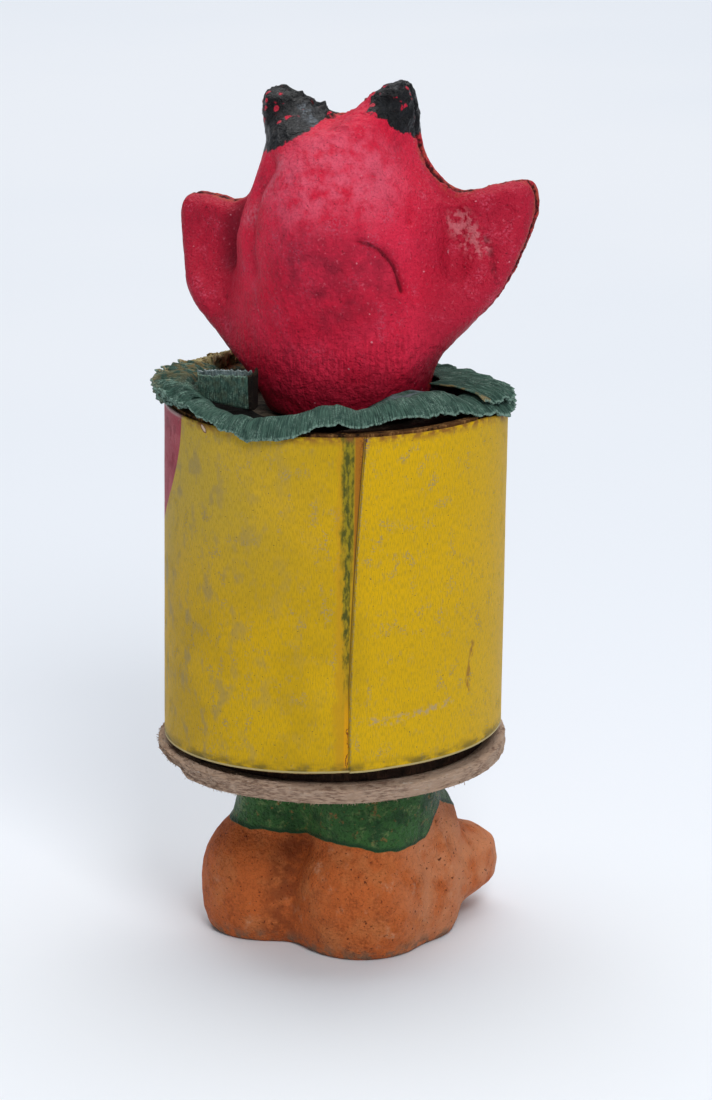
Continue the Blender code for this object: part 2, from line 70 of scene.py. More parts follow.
# %% Camera and rays
PHOTO_WIDTH = 712
PHOTO_HEIGHT = 1100
FOCAL_PIXELS = 4085
SENSOR = 36.0
VIEW_TURN = math.radians(200)
VIEW_PITCH = math.radians(15.8)
VIEW_RANGE = 600.7 * MM
LOOK_SIDE = 3.46 * MM
LOOK_UP = 57.6 * MM

view_out = Vector((math.sin(VIEW_TURN), -math.cos(VIEW_TURN), 0))
view_right = Vector((math.cos(VIEW_TURN), math.sin(VIEW_TURN), 0))
view_back = view_out * math.cos(VIEW_PITCH) + Vector((0, 0, math.sin(VIEW_PITCH)))
view_up = view_back.cross(view_right)
look_at = view_right * LOOK_SIDE + Vector((0, 0, LOOK_UP))

camera = bpy.data.objects.new("camera", bpy.data.cameras.new("camera"))
camera.data.sensor_width = SENSOR
camera.data.lens = SENSOR / PHOTO_HEIGHT * FOCAL_PIXELS
camera.data.clip_start = 0.01
camera.data.clip_end = 20
camera.location = look_at + view_back * VIEW_RANGE
camera.rotation_euler = (-view_back).to_track_quat("-Z", "Y").to_euler()
bpy.context.scene.collection.objects.link(camera)
bpy.context.scene.camera = camera


def photo_ray(x, y):
    """The direction from the camera through a pixel of the photograph."""
    across = (x - PHOTO_WIDTH / 2) / FOCAL_PIXELS
    down = (y - PHOTO_HEIGHT / 2) / FOCAL_PIXELS
    return (view_right * across - view_up * down - view_back).normalized()


def seen_on(surface, pixels):
    """Where the photograph's pixels fall on a surface, as an array of points."""
    hits = [surface.ray_cast(camera.location, photo_ray(x, y))[0] for x, y in pixels]
    return np.array([hit for hit in hits if hit is not None])


print(f"lens {camera.data.lens:.1f} mm, camera {camera.location.z / MM:.0f} mm up")

# %% [markdown]
# ## Small helpers
#
# Fine relief is worked out with numpy on all of a mesh's points at once. A value stored on the points
# under a name can be read by a material later, which is how a painted edge stays in its place.

# %% Mesh helpers


def smooth_step(value, start, end):
    share = np.clip((value - start) / (end - start), 0, 1)
    return share * share * (3 - 2 * share)


def bell(value, width):
    """1 in the middle, falling away over a width."""
    return np.exp(-((value / width) ** 2))


def points_of(mesh):
    places = np.empty(len(mesh.vertices) * 3)
    mesh.vertices.foreach_get("co", places)
    return places.reshape(-1, 3)


def normals_of(mesh):
    ways = np.empty(len(mesh.vertices) * 3)
    mesh.vertex_normals.foreach_get("vector", ways)
    return ways.reshape(-1, 3)


def move_points(mesh, places):
    mesh.vertices.foreach_set("co", places.ravel())
    mesh.update()


def store(mesh, **marks):
    """Keeps numbers for each point, under their names."""
    for name, values in marks.items():
        attribute = mesh.attributes.new(name, "FLOAT", "POINT")
        attribute.data.foreach_set("value", np.asarray(values, np.float32))


def surface_of(mesh):
    """The mesh as it is now, for rays to fall on."""
    places = [Vector(place) for place in points_of(mesh)]
    return BVHTree.FromPolygons(places, [tuple(face.vertices) for face in mesh.polygons])


def noise_on(places, size, octaves=1, seed=0):
    """Cloudy noise of a given size, about -1 to 1, at each place."""
    shift = Vector((17.3 * seed, -9.1 * seed, 4.7 * seed))
    return np.array([noise.fractal(Vector(place) / size + shift, 1.0, 2.0, octaves) for place in places])


def distance_to_path(places, path):
    """How far each place is from a broken line."""
    nearest = np.full(len(places), np.inf)
    for start, end in zip(path, path[1:]):
        run = end - start
        share = np.clip((places - start) @ run / (run @ run), 0, 1)
        gap = np.linalg.norm(places - start - share[:, None] * run, axis=1)
        nearest = np.minimum(nearest, gap)
    return nearest


def add_piece(name, mesh):
    piece = bpy.data.objects.new(name, mesh)
    bpy.context.scene.collection.objects.link(piece)
    return piece


def bake_modifiers(piece):
    """Puts what the modifiers make into the piece's own mesh, and takes them off."""
    graph = bpy.context.evaluated_depsgraph_get()
    made = bpy.data.meshes.new_from_object(piece.evaluated_get(graph))
    piece.modifiers.clear()
    piece.data = made
    made.name = piece.name
    return made


def fine_copy(node, name, voxel, rounds):
    """A closed, fine and smooth skin over a CAD node, ready for relief."""
    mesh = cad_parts[node].data.copy()
    shape = bmesh.new()
    shape.from_mesh(mesh)
    bmesh.ops.remove_doubles(shape, verts=shape.verts, dist=0.001 * MM)
    shape.to_mesh(mesh)
    shape.free()
    mesh.materials.clear()
    piece = add_piece(name, mesh)
    skin = piece.modifiers.new("skin", "REMESH")
    skin.mode = "VOXEL"
    skin.voxel_size = voxel
    ease = piece.modifiers.new("ease", "SMOOTH")
    ease.factor = 0.5
    ease.iterations = rounds
    made = bake_modifiers(piece)
    made.shade_smooth()
    print(f"{name}: {len(made.vertices)} points")
    return piece


# %% [markdown]
# Materials and shapes are both built from nodes. The Value class lets a node's output be added and
# multiplied like a number, where each sign adds one more node. Colours are written as the hex values
# that a screen shows, and one function turns them to the linear values that the renderer works in.

# %% Node helpers
now = SimpleNamespace(tree=None, shader=None, place=None)


class Value:
    """A node's output. Each sum or product of it is one more node in the tree that is being built."""

    def __init__(self, socket):
        self.socket = socket

    def out(self, key):
        """Another output of the same node."""
        return Value(self.socket.node.outputs[key])

    def __add__(self, other):
        return work("ADD", self, other)

    def __sub__(self, other):
        return work("SUBTRACT", self, other)

    def __rsub__(self, other):
        return work("SUBTRACT", other, self)

    def __mul__(self, other):
        return work("MULTIPLY", self, other)

    def __truediv__(self, other):
        return work("DIVIDE", self, other)

    def __pow__(self, other):
        return work("POWER", self, other)


def node(kind, links=None, out=0, **settings):
    """Adds a node to the tree being built, sets it, wires or fills its sockets, returns an output."""
    added = now.tree.nodes.new(kind)
    for name, value in settings.items():
        setattr(added, name, value)
    for key, value in (links or {}).items():
        if isinstance(value, Value):
            now.tree.links.new(value.socket, added.inputs[key])
        else:
            added.inputs[key].default_value = value
    return Value(added.outputs[out]) if added.outputs else added


def work(operation, *values):
    return node("ShaderNodeMath", dict(enumerate(values)), operation=operation)


def ramp(value, start, end):
    """A mask that goes from 0 to 1 as a value goes from start to end."""
    links = {"Value": value, "From Min": start, "From Max": end}
    return node("ShaderNodeMapRange", links, interpolation_type="SMOOTHSTEP")


# %% Material helpers


def linear(hex_colour):
    """A screen colour such as #C6273F, as linear red, green, blue and alpha."""
    parts = [int(hex_colour[i : i + 2], 16) / 255 for i in (1, 3, 5)]
    values = [part / 12.92 if part <= 0.04045 else ((part + 0.055) / 1.055) ** 2.4 for part in parts]
    return (*values, 1.0)


def new_finish(name, roughness, shine=0.2):
    """Starts a material. What follows goes into its tree, with patterns laid on the object's own axes."""
    material = bpy.data.materials.new(name)
    material.use_nodes = True
    now.tree = material.node_tree
    now.shader = now.tree.nodes["Principled BSDF"]
    now.place = node("ShaderNodeTexCoord", out=3)
    now.shader.inputs["Roughness"].default_value = roughness
    now.shader.inputs["Specular IOR Level"].default_value = shine
    return material


def wire(socket, value):
    now.tree.links.new(value.socket, now.shader.inputs[socket])


def mark(name):
    """A number that was stored on the piece's points under a name."""
    return node("ShaderNodeAttribute", out=2, attribute_name=name)


def cloud(size, start, end, stretch=(1, 1, 1), detail=3.0, shift=0.0, place=None):
    """A cloudy mask, 0 to 1, whose clouds are so many millimetres across in each direction."""
    scale = tuple(1 / (size * MM * part) for part in stretch)
    where = {"Vector": place or now.place, "Scale": scale, "Location": (shift, 1.7 * shift, -shift)}
    spot = node("ShaderNodeMapping", where)
    noisy = node("ShaderNodeTexNoise", {"Vector": spot, "Scale": 1.0, "Detail": detail, "Roughness": 0.55})
    return ramp(noisy, start, end)


def blend(where, under, over):
    return node("ShaderNodeMix", {0: where, 6: under, 7: over}, out=2, data_type="RGBA")


def paint(under, *coats):
    """Colour laid over colour: each coat is a hex colour and the mask that says where."""
    under = linear(under) if isinstance(under, str) else under
    for hex_colour, where in coats:
        under = blend(where, under, linear(hex_colour))
    return under


def raise_surface(layers):
    """Fine bumps: each layer is a mask and its height in metres."""
    normal = None
    for height, depth in layers:
        links = {"Height": height, "Distance": depth, "Strength": 1.0}
        if normal is not None:
            links["Normal"] = normal
        normal = node("ShaderNodeBump", links)
    wire("Normal", normal)


def finish(piece, material, stands_for=None):
    """Gives a piece its only material, hides the solid that it stands for, and attaches it to the root."""
    piece.data.materials.clear()
    piece.data.materials.append(material)
    if stands_for:
        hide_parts(stands_for)
    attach(piece, "root")


# %% [markdown]
# ## The head's own axes
#
# The head was moulded in two halves and glued on a little askew. Its paint and its seam are easiest
# to describe in the mould's axes: side to the right as seen from behind, ahead towards the face, and
# up to the horns.

# %% Head axes
HEAD_TILT = math.radians(5.7)
HEAD_LEAN_SIDE = math.radians(200)
HEAD_SHIFT = 2.6 * MM
NECK_TRIM = -1.0 * MM
GAP = 0.3 * MM

top_disc_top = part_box("top_disc")[1].z
head_place = np.array(
    (
        HEAD_SHIFT * math.cos(HEAD_LEAN_SIDE),
        HEAD_SHIFT * math.sin(HEAD_LEAN_SIDE),
        top_disc_top + GAP - NECK_TRIM,
    )
)
head_turn = np.array(Matrix.Rotation(HEAD_TILT, 3, "Y"))


def mould_axes(places):
    """Side, ahead and up, in millimetres."""
    local = (places - head_place) @ head_turn / MM
    return (-local[:, 0], -local[:, 1], local[:, 2])


def seam_ahead(side, up):
    """Where the mould's seam runs: it sweeps forward towards the crown and the ears."""
    sweep = 3.6 * smooth_step(np.abs(side), 15, 26) * smooth_step(up, 16, 28)
    return 7.3 * smooth_step(up, 6, 26) + sweep


print("head stands at", np.round(head_place / MM, 1), "mm")

# %% [markdown]
# ## The pulp head
#
# Pressed pulp, which dealers call composition, has a skin like eggshell with pits where the fibres
# pulled away. The skin here is a voxel remesh of the solid, smoothed, then pushed in and out along
# its own normals: grain, the mould's crusted seam, the valleys beside the skull, a shrinkage crack,
# a dent and a few pits. Each lies where the photograph shows it, as a bell curve over the distance
# from a line of pixels.

# %% Head relief


def crack_strength(places, path):
    """1 at the crack's middle and less towards its ends, with breaks."""
    middle = path[len(path) // 2 + 1]
    gap = np.linalg.norm(places - middle, axis=1) / MM
    broken = 0.95 + 0.3 * noise_on(places, 1.6 * MM, 2, 8)
    return np.clip(smooth_step(-gap, -9.0, -5.0) * broken, 0, 1)


HEAD_VOXEL = 0.34 * MM
SEAM_WIDTH = 0.36
SEAM_DEPTH = 0.60 * MM
CRACK_PIXELS = [(358, 241), (370, 244), (380, 250), (388, 258), (395, 267), (399, 279), (402, 291)]
CRACK_WIDTH = 0.44 * MM
CRACK_DEPTH = 0.62 * MM
PIT_PIXELS = [
    (339, 298), (402, 349), (226, 299), (200, 221), (345, 303), (411, 222), (291, 171), (372, 209),
    (300, 236),
]
SCUFF_PIXELS = [(460, 220), (468, 234), (478, 247)]
DENT_IN_BALL = [(322, 282), (352, 276)]
DENT_REACH = 7.5 * MM
DENT_DEPTH = 0.45 * MM
FLAKE_PIXELS = [(322, 106), (327, 113), (331, 118)]
EAR_FOLD_PIXELS = [(486, 238), (491, 252), (493, 268), (497, 282)]
LEFT_VALLEY_PIXELS = [(268, 168), (256, 190), (250, 214), (247, 240), (250, 268)]
RIGHT_VALLEY_PIXELS = [(437, 165), (449, 190), (457, 214), (459, 240), (454, 268)]
VALLEY_REACH = 1.9 * MM
VALLEY_DEPTH = 1.2 * MM
EAR_HOLLOW_PIXELS = [(236, 212), (231, 232), (233, 256)]
EAR_RIM_PIXELS = [(202, 208), (193, 240), (192, 272), (204, 300)]
SMALL_HOLLOW_PIXELS = [(413, 214), (411, 222)]
EAR_HOLLOW_DEPTH = 0.7 * MM
EAR_RIM_HEIGHT = 0.35 * MM
SMALL_HOLLOW_DEPTH = 0.35 * MM
FLAKE_HEIGHT = 0.75 * MM
EAR_FOLD_DEPTH = 0.28 * MM
PIT_DEPTH = 0.22 * MM

head = fine_copy("head", "devil_head", HEAD_VOXEL, 14)
places = points_of(head.data)
ways = normals_of(head.data)
head_surface = surface_of(head.data)
side, ahead, up = mould_axes(places)
past_seam = ahead - seam_ahead(side, up)
neck_fade = smooth_step(up, 9, 17)


def away_from(pixels):
    """How far each point of the head is from a line in the photograph."""
    return distance_to_path(places, seen_on(head_surface, pixels))


crack = away_from(CRACK_PIXELS)
scuff = away_from(SCUFF_PIXELS)
back_half = smooth_step(-past_seam, 0.6, 2.4)
broad = noise_on(places, 7 * MM, 2, 1)
lumps = noise_on(places, 2.2 * MM, 2, 2)
grain = noise_on(places, 0.7 * MM, 2, 3)
crust = noise_on(places, 1.1 * MM, 3, 6)
rise = (0.14 * broad + 0.085 * lumps + 0.040 * grain) * MM
crooked = past_seam + 0.35 * broad + 0.18 * lumps
rise -= SEAM_DEPTH * bell(crooked, SEAM_WIDTH) * neck_fade
rise += 0.3 * MM * crust * bell(past_seam, 1.3) * neck_fade
rise += 0.20 * MM * (crust + broad) * smooth_step(up, 37, 40)
for pixels in (LEFT_VALLEY_PIXELS, RIGHT_VALLEY_PIXELS):
    rise -= VALLEY_DEPTH * bell(away_from(pixels), VALLEY_REACH) * back_half
rise -= EAR_HOLLOW_DEPTH * bell(away_from(EAR_HOLLOW_PIXELS), 2.2 * MM) * back_half
rise += EAR_RIM_HEIGHT * bell(away_from(EAR_RIM_PIXELS), 1.3 * MM) * back_half
rise -= SMALL_HOLLOW_DEPTH * bell(away_from(SMALL_HOLLOW_PIXELS), 0.8 * MM)
rise -= DENT_DEPTH * (1 - smooth_step(away_from(DENT_IN_BALL), 0.35 * DENT_REACH, DENT_REACH))
flake = away_from(FLAKE_PIXELS)
rise += FLAKE_HEIGHT * bell(flake, 0.7 * MM) * np.clip(0.9 + 0.7 * crust, 0, 1.6)
ear_fold = away_from(EAR_FOLD_PIXELS)
rise -= EAR_FOLD_DEPTH * bell(ear_fold, 0.55 * MM) * np.clip(0.8 + 0.5 * lumps, 0, 1.5)
wander = crack + 0.12 * MM * lumps
bold = crack_strength(places, seen_on(head_surface, CRACK_PIXELS))
rise -= CRACK_DEPTH * bold * bell(wander, CRACK_WIDTH)
rise += 0.24 * MM * bold * bell(wander - 0.9 * MM, 0.6 * MM)
for i, pit in enumerate(seen_on(head_surface, PIT_PIXELS)):
    reach = np.linalg.norm(places - pit, axis=1)
    rise -= PIT_DEPTH * bell(reach, 0.42 * MM) * (1 + 0.4 * (i % 3))
rise += 0.16 * MM * bell(scuff, 1.6 * MM) * noise_on(places, 0.9 * MM, 3, 4)
move_points(head.data, places + ways * rise[:, None])
print(f"relief from {rise.min() / MM:.2f} to {rise.max() / MM:.2f} mm")

# %% [markdown]
# The horns were dipped in black by hand, so the paint's edge is a wavering line. It is drawn through
# points of the photograph, as a height over the head's width, and stored as a distance. The material
# turns that distance into an edge as crisp as it likes.

# %% Marks on the head
HORN_EDGE_PIXELS = [
    (268, 154), (285, 146), (306, 136), (325, 119), (364, 114), (383, 121), (399, 134), (418, 138),
]
CROWN_HEIGHT = 60.0
# Pixels of the upper ball, where a highlight is painted into the red.
GLOW_PIXELS = [(305, 185), (330, 165), (360, 175)]
# Pixels of the ball's middle, darker from dirt and from shade painted in with it.
SMUDGE_PIXELS = [(300, 268), (335, 272), (365, 282), (330, 300)]
# Pixels along the ridge beside the left ear: rubbed pale, with a highlight painted along it.
RUBBED_RIDGE_PIXELS = [(278, 166), (268, 185), (254, 205), (246, 216)]
# Pixels of a horn where a bluish glint is painted.
HORN_LIGHT_PIXELS = [(304, 108), (311, 120), (318, 128)]
CHIP_PIXELS = [
    (268, 92), (266, 100), (265, 108), (407, 88), (411, 94), (412, 99), (372, 106), (276, 108), (279, 122),
]

edge_points = seen_on(head_surface, HORN_EDGE_PIXELS)
edge_side, _, edge_up = mould_axes(edge_points)
edge_side = np.concatenate(
    [
        [edge_side[0] - 9], edge_side[:4], [edge_side[3] + 0.6, edge_side[4] - 0.6], edge_side[4:],
        [edge_side[-1] + 9],
    ],
)
edge_up = np.concatenate(
    [[edge_up[0] - 3], edge_up[:4], [CROWN_HEIGHT, CROWN_HEIGHT], edge_up[4:], [edge_up[-1] - 2]],
)
horn_paint = up - np.interp(side, edge_side, edge_up)
chips = seen_on(head_surface, CHIP_PIXELS)
chip_gap = np.min([np.linalg.norm(places - chip, axis=1) for chip in chips], axis=0)
store(
    head.data,
    horn_paint=horn_paint + 0.45 * lumps,
    past_seam=crooked,
    crack=wander / MM + 0.35 * (1 - bold),
    scuff=scuff / MM,
    flake=flake / MM,
    ear_fold=ear_fold / MM,
    sideways=np.abs(side),
    glow=away_from(GLOW_PIXELS) / MM,
    smudge=away_from(SMUDGE_PIXELS) / MM,
    ear_hollow=away_from(EAR_HOLLOW_PIXELS) / MM,
    rubbed_ridge=away_from(RUBBED_RIDGE_PIXELS) / MM,
    horn_light=away_from(HORN_LIGHT_PIXELS) / MM,
    chip=chip_gap / MM + 0.35 * lumps,
    neck=up,
)
print("horn paint edge at side", np.round(edge_side, 1), "up", np.round(edge_up, 1))

# %% [markdown]
# ### Red and black paint on composition
#
# The red is a thin casein-like paint with a low sheen, rubbed paler along every raised edge and dirty
# in patches. Shade is painted darker into the seam's crevice, the crack, the ears' hollow and fold,
# the ears and the neck, and together with dirt into the ball's middle. Highlights are painted onto the
# upper ball and the ridge beside the left ear, and a glint and sheen onto the black horns. Ambient
# pointiness would give the edges, but it depends on the mesh, so the masks here come from the stored
# distances and from clouds of a known size.

# %% Head finish


def painted_composition():
    material = new_finish("red_and_black_paint_on_composition", 0.5)
    horn = mark("horn_paint")
    seam = mark("past_seam")
    height = mark("neck")
    fine = cloud(0.5, 0.3, 0.7, detail=4)
    clouds = cloud(9, 0.35, 0.65)
    rubbed = cloud(3.2, 0.5, 0.72, detail=6) * cloud(0.35, 0.45, 0.6)
    grime = cloud(5, 0.52, 0.8, detail=5, shift=3)
    specks = cloud(0.55, 0.71, 0.78, detail=1, shift=7)
    crevice = work("ABSOLUTE", seam)
    in_crevice = ramp(crevice, 0.75, 0.2) * ramp(height, 9, 17)
    front_rim = ramp(seam, 0.3, 0.7) * ramp(seam, 2.0, 1.0) * fine
    edge_band = ramp(crevice, 1.9, 0.9) * cloud(1.2, 0.35, 0.62, detail=5, shift=5)
    dark_edge = ramp(crevice, 1.1, 0.5) * ramp(height, 15, 20)
    grit = cloud(0.32, 0.5, 0.62, detail=3, shift=15)
    streaks = cloud(0.35, 0.42, 0.62, stretch=(1, 1, 6), detail=4, shift=11)
    glow = ramp(mark("glow"), 10.0, 2.5) * 0.75
    smudge = ramp(mark("smudge"), 8.5, 1.0)
    ears = ramp(mark("sideways"), 12, 17)
    red = paint(
        "#DC1E3E",
        ("#E62C4C", clouds),
        # The ears, out to the sides, are painted a darker red, as shade.
        ("#AE1A34", ears * 0.75),
        ("#A3152E", streaks * ramp(height, 16, 6) * 0.6),
        # A highlight painted onto the upper ball.
        ("#F0647E", glow * cloud(2.0, 0.3, 0.62, detail=6)),
        ("#D8506A", rubbed * ramp(height, 4, 14) * 0.9),
        # The ridge beside the left ear: rubbed paler, and a painted highlight.
        ("#DE7285", ramp(mark("rubbed_ridge"), 2.6, 0.4) * fine * 0.8),
        # Dirt and painted shade darken the ball's middle.
        ("#841B2F", smudge * cloud(2.6, 0.12, 0.84, detail=3, shift=13) * 0.95),
        ("#8E1730", grime * fine * 0.8),
        # Shade in the left ear's hollow is painted darker.
        ("#7E1026", ramp(mark("ear_hollow"), 3.4, 0.6) * 0.7),
        # Shade under the head's ball is painted onto the neck, darkest at its foot.
        ("#6E0418", ramp(height, 8, -2)),
        ("#A81C36", grit * 0.28),
        ("#E8788C", cloud(0.5, 0.6, 0.74, detail=4, shift=17) * ramp(height, 10, 18) * 0.4),
        ("#6E1424", specks * 0.7),
        ("#E0808E", cloud(0.8, 0.775, 0.8, detail=1, shift=19)),
        ("#B5523F", edge_band * ramp(height, 15, 22) * 0.8),
        ("#C24A30", front_rim * 0.8),
        ("#E28890", ramp(mark("scuff"), 2.6, 1.0) * cloud(1.2, 0.44, 0.58, detail=7) * 0.6),
        # Shade in the right ear's fold is painted as a dark line.
        ("#4E0A18", ramp(mark("ear_fold"), 0.7, 0.2) * cloud(0.9, 0.3, 0.65, shift=3) * 0.55),
        ("#4A0A14", dark_edge * cloud(0.6, 0.46, 0.56, detail=4, shift=21) * 0.9),
        # The seam's crevice is painted near black, as shade.
        ("#2E070C", in_crevice * 0.9),
        # Shade in the crack is painted as a dark red line.
        ("#4E0A18", ramp(mark("crack"), 0.42, 0.06) * cloud(0.9, 0.1, 0.5, shift=23) * 0.8),
        ("#2A1A14", ramp(mark("flake"), 1.1, 0.6) * cloud(0.6, 0.36, 0.5, shift=2)),
    )
    horn_light = ramp(mark("horn_light"), 1.3, 0.3)
    glossy_patch = cloud(2.5, 0.45, 0.62, detail=4, shift=2)
    black = paint(
        "#0D0F12",
        # Lighter grey patches of painted sheen on the black.
        ("#20242A", glossy_patch * fine * 0.8),
        ("#0E1013", cloud(1.5, 0.5, 0.7, shift=9)),
        # A bluish glint painted onto the horn.
        ("#7C8892", horn_light * cloud(0.6, 0.42, 0.62, detail=5, shift=8) * 0.6),
        ("#5E1A24", cloud(1.1, 0.68, 0.74, detail=5, shift=4)),
        ("#C2283E", ramp(mark("chip"), 0.48, 0.34)),
    )
    chips = cloud(1.7, 0.6, 0.66, detail=5, shift=12) * ramp(horn, 2.6, 4.2)
    ragged = cloud(0.8, 0.2, 0.8, shift=6) * 0.7
    raw_edge = horn - ragged
    is_black = ramp(raw_edge, -0.12, 0.12)
    unchipped = 1.0 - chips
    horn_coat = is_black * unchipped
    colour = blend(horn_coat, red, black)
    wire("Base Color", colour)
    sheen = node("ShaderNodeMapRange", {"Value": fine * rubbed, "To Min": 0.47, "To Max": 0.7})
    roughness = node("ShaderNodeMix", {0: horn_coat, 2: sheen, 3: 0.28})
    wire("Roughness", roughness)
    shine = node("ShaderNodeMix", {0: horn_coat, 2: 0.12, 3: 0.22})
    wire("Specular IOR Level", shine)
    raise_surface([(cloud(0.9, 0.3, 0.7, detail=6), 0.2 * MM), (cloud(0.3, 0.3, 0.7, detail=3), 0.07 * MM)])
    return material


finish(head, painted_composition(), "head")

# %% [markdown]
# ## The pulp feet
#
# The feet and trouser ends are one more moulding. The green stops at a hem line that wavers round the
# legs. Its height is read from the photograph at the back, and runs on level where it can't be seen.

# %% Feet relief and hem
FEET_VOXEL = 0.36 * MM
HEM_PIXELS = [
    (230, 815), (262, 830), (300, 833), (330, 842), (360, 848), (375, 853), (400, 850), (425, 838),
    (433, 820), (440, 800),
]
RIDGE_PIXELS = [(436, 824), (447, 850), (453, 878), (461, 911), (456, 925)]
CREASE_PIXELS = [(300, 837), (290, 858), (286, 885), (280, 925)]
DENT_PIXELS = [(450, 841), (374, 870), (312, 868), (288, 847), (292, 862), (395, 905), (246, 872)]
HIDDEN_HEM = 17.0 * MM

feet = fine_copy("feet", "pulp_feet", FEET_VOXEL, 10)
places = points_of(feet.data)
ways = normals_of(feet.data)
feet_surface = surface_of(feet.data)
BACK_SIDE = math.radians(110)


def round_from_back(places):
    """Degrees round from the middle of the back, to the right as seen from behind."""
    turned = np.degrees(np.arctan2(places[:, 1], places[:, 0])) - math.degrees(BACK_SIDE)
    return (turned + 180) % 360 - 180


hem = seen_on(feet_surface, HEM_PIXELS)
hem_turn = round_from_back(hem)
order = np.argsort(hem_turn)
turns = np.concatenate([[-180, hem_turn[order][0] - 20], hem_turn[order], [hem_turn[order][-1] + 25, 180]])
heights = np.concatenate([[HIDDEN_HEM] * 2, hem[order][:, 2], [HIDDEN_HEM] * 2])
broad = noise_on(places, 5 * MM, 2, 11)
lumps = noise_on(places, 1.8 * MM, 2, 12)
grain = noise_on(places, 0.6 * MM, 2, 13)
over_hem = (places[:, 2] - np.interp(round_from_back(places), turns, heights)) / MM
ridge = distance_to_path(places, seen_on(feet_surface, RIDGE_PIXELS))
standing = smooth_step(places[:, 2], 0.2 * MM, 1.4 * MM)
under_disc = 1 - smooth_step(places[:, 2], 25.6 * MM, 26.4 * MM)
rise = (0.2 * broad + 0.07 * lumps + 0.025 * grain) * MM
rise += 0.32 * MM * bell(ridge, 0.5 * MM)
rise += 0.10 * MM * smooth_step(over_hem, -0.15, 0.25)
for i, pit in enumerate(seen_on(feet_surface, DENT_PIXELS)):
    reach = np.linalg.norm(places - pit, axis=1)
    width = (1.3 if i == 0 else 0.4) * MM
    rise -= (0.5 if i == 0 else 0.25) * MM * bell(reach, width)
rise *= standing * under_disc
places = places + ways * rise[:, None]
places[:, 2] = np.maximum(places[:, 2], 0)
move_points(feet.data, places)
store(
    feet.data,
    over_hem=over_hem + 0.25 * lumps,
    height=places[:, 2] / MM,
    to_the_left=-places @ np.array(view_right) / MM,
    crease=distance_to_path(places, seen_on(feet_surface, CREASE_PIXELS)) / MM,
)
print(f"hem from {heights.min() / MM:.1f} to {heights.max() / MM:.1f} mm up")

# %% [markdown]
# ### Green and orange paint
#
# The boots' orange is thin over a pale brown pulp, so it shows rust-coloured grain, with dirt in the
# pores. The green is thicker and glossier. Both have paler rubbed patches. Light is painted onto the
# boots' right side, and shade into the crease between the heels and onto the trousers under the disc.

# %% Feet finish


def booted_composition():
    material = new_finish("green_and_orange_paint_on_composition", 0.6)
    hem_gap = mark("over_hem")
    height = mark("height")
    across = mark("to_the_left")
    crease = mark("crease")
    fine = cloud(0.45, 0.35, 0.65, detail=5)
    boots = paint(
        "#D06C33",
        ("#D07A44", cloud(6, 0.45, 0.68, detail=4)),
        ("#A04A1E", cloud(2.4, 0.42, 0.66, detail=7, shift=2) * fine * 0.8),
        ("#8A4220", cloud(0.3, 0.5, 0.66, detail=3, shift=9) * 0.34),
        ("#DDA37C", cloud(3.5, 0.58, 0.74, detail=5, shift=5) * fine * 0.7),
        # The boots' right side is painted lighter, as light.
        ("#DE9468", ramp(across, -7, -15) * cloud(4.0, 0.3, 0.6, detail=6, shift=7) * 0.75),
        # Shade in the crease between the heels is painted darker.
        ("#8E4420", ramp(crease, 4.2, 0.6) * cloud(1.4, 0.3, 0.58, detail=7, shift=12) * 0.8),
        ("#6E3218", cloud(0.5, 0.64, 0.72, detail=2, shift=8)),
        ("#8A6A52", ramp(height, 3.0, 0.2) * cloud(1.5, 0.4, 0.6)),
    )
    trousers = paint(
        "#3A6A34",
        ("#28502A", cloud(3, 0.45, 0.65, detail=5, shift=3)),
        ("#6E8A52", cloud(1.8, 0.52, 0.66, detail=6, shift=6) * fine),
        ("#8C6A3A", cloud(1.1, 0.58, 0.68, detail=5, shift=1) * fine),
        ("#1E3A1E", cloud(0.4, 0.52, 0.62, detail=3, shift=14) * 0.6),
        # Shade under the disc is painted onto the trousers' top.
        ("#16331C", ramp(height, 23.0, 27.0)),
    )
    wet_edge = ramp(hem_gap, -0.05, 0.15) * ramp(hem_gap, 0.9, 0.3)
    is_green = ramp(hem_gap, -0.1, 0.1)
    colour = blend(is_green, boots, trousers)
    colour = paint(colour, ("#1D4426", wet_edge))
    wire("Base Color", colour)
    wire("Roughness", node("ShaderNodeMix", {0: is_green, 2: 0.62, 3: 0.42}))
    raise_surface(
        [(cloud(0.8, 0.3, 0.7, detail=6), 0.2 * MM), (cloud(0.28, 0.3, 0.7, detail=3), 0.08 * MM)],
    )
    return material


finish(feet, booted_composition(), "feet")

# %% [markdown]
# ## The rolled yellow paper
#
# The tube's paper is one strip, rolled round the card until its end rides over its start. A rolled
# strip follows a rule, so Geometry Nodes make it: a flat slab of a mesh is bent round the axis, its
# ends follow the card's slanting cuts, and its last few millimetres lift by their own thickness.

# %% Paper sizes
TUBE_RADIUS = 24.4 * MM
TUBE_LENGTH = 50.5 * MM
TUBE_TURN = math.radians(27.5)
TUBE_LEAN = math.radians(0.7)
FOOT_CUT_ANGLE = math.radians(2.8)
FOOT_CUT_SIDE = math.radians(177)
PAPER_THICKNESS = 0.3 * MM
PAPER_MARGIN = 0.3 * MM
OVERLAP_WIDTH = 1.9 * MM
SEAM_SLANT = 1.8 * MM
SLANT_START = 0.2
SLANT_POWER = 1.6
DIP_FROM = math.radians(72)
DIP_TO = math.radians(161)
DIP_FADE = math.radians(18)
RIM_DIP = 1.9 * MM
WRAP_RADIUS = TUBE_RADIUS + GAP + PAPER_THICKNESS

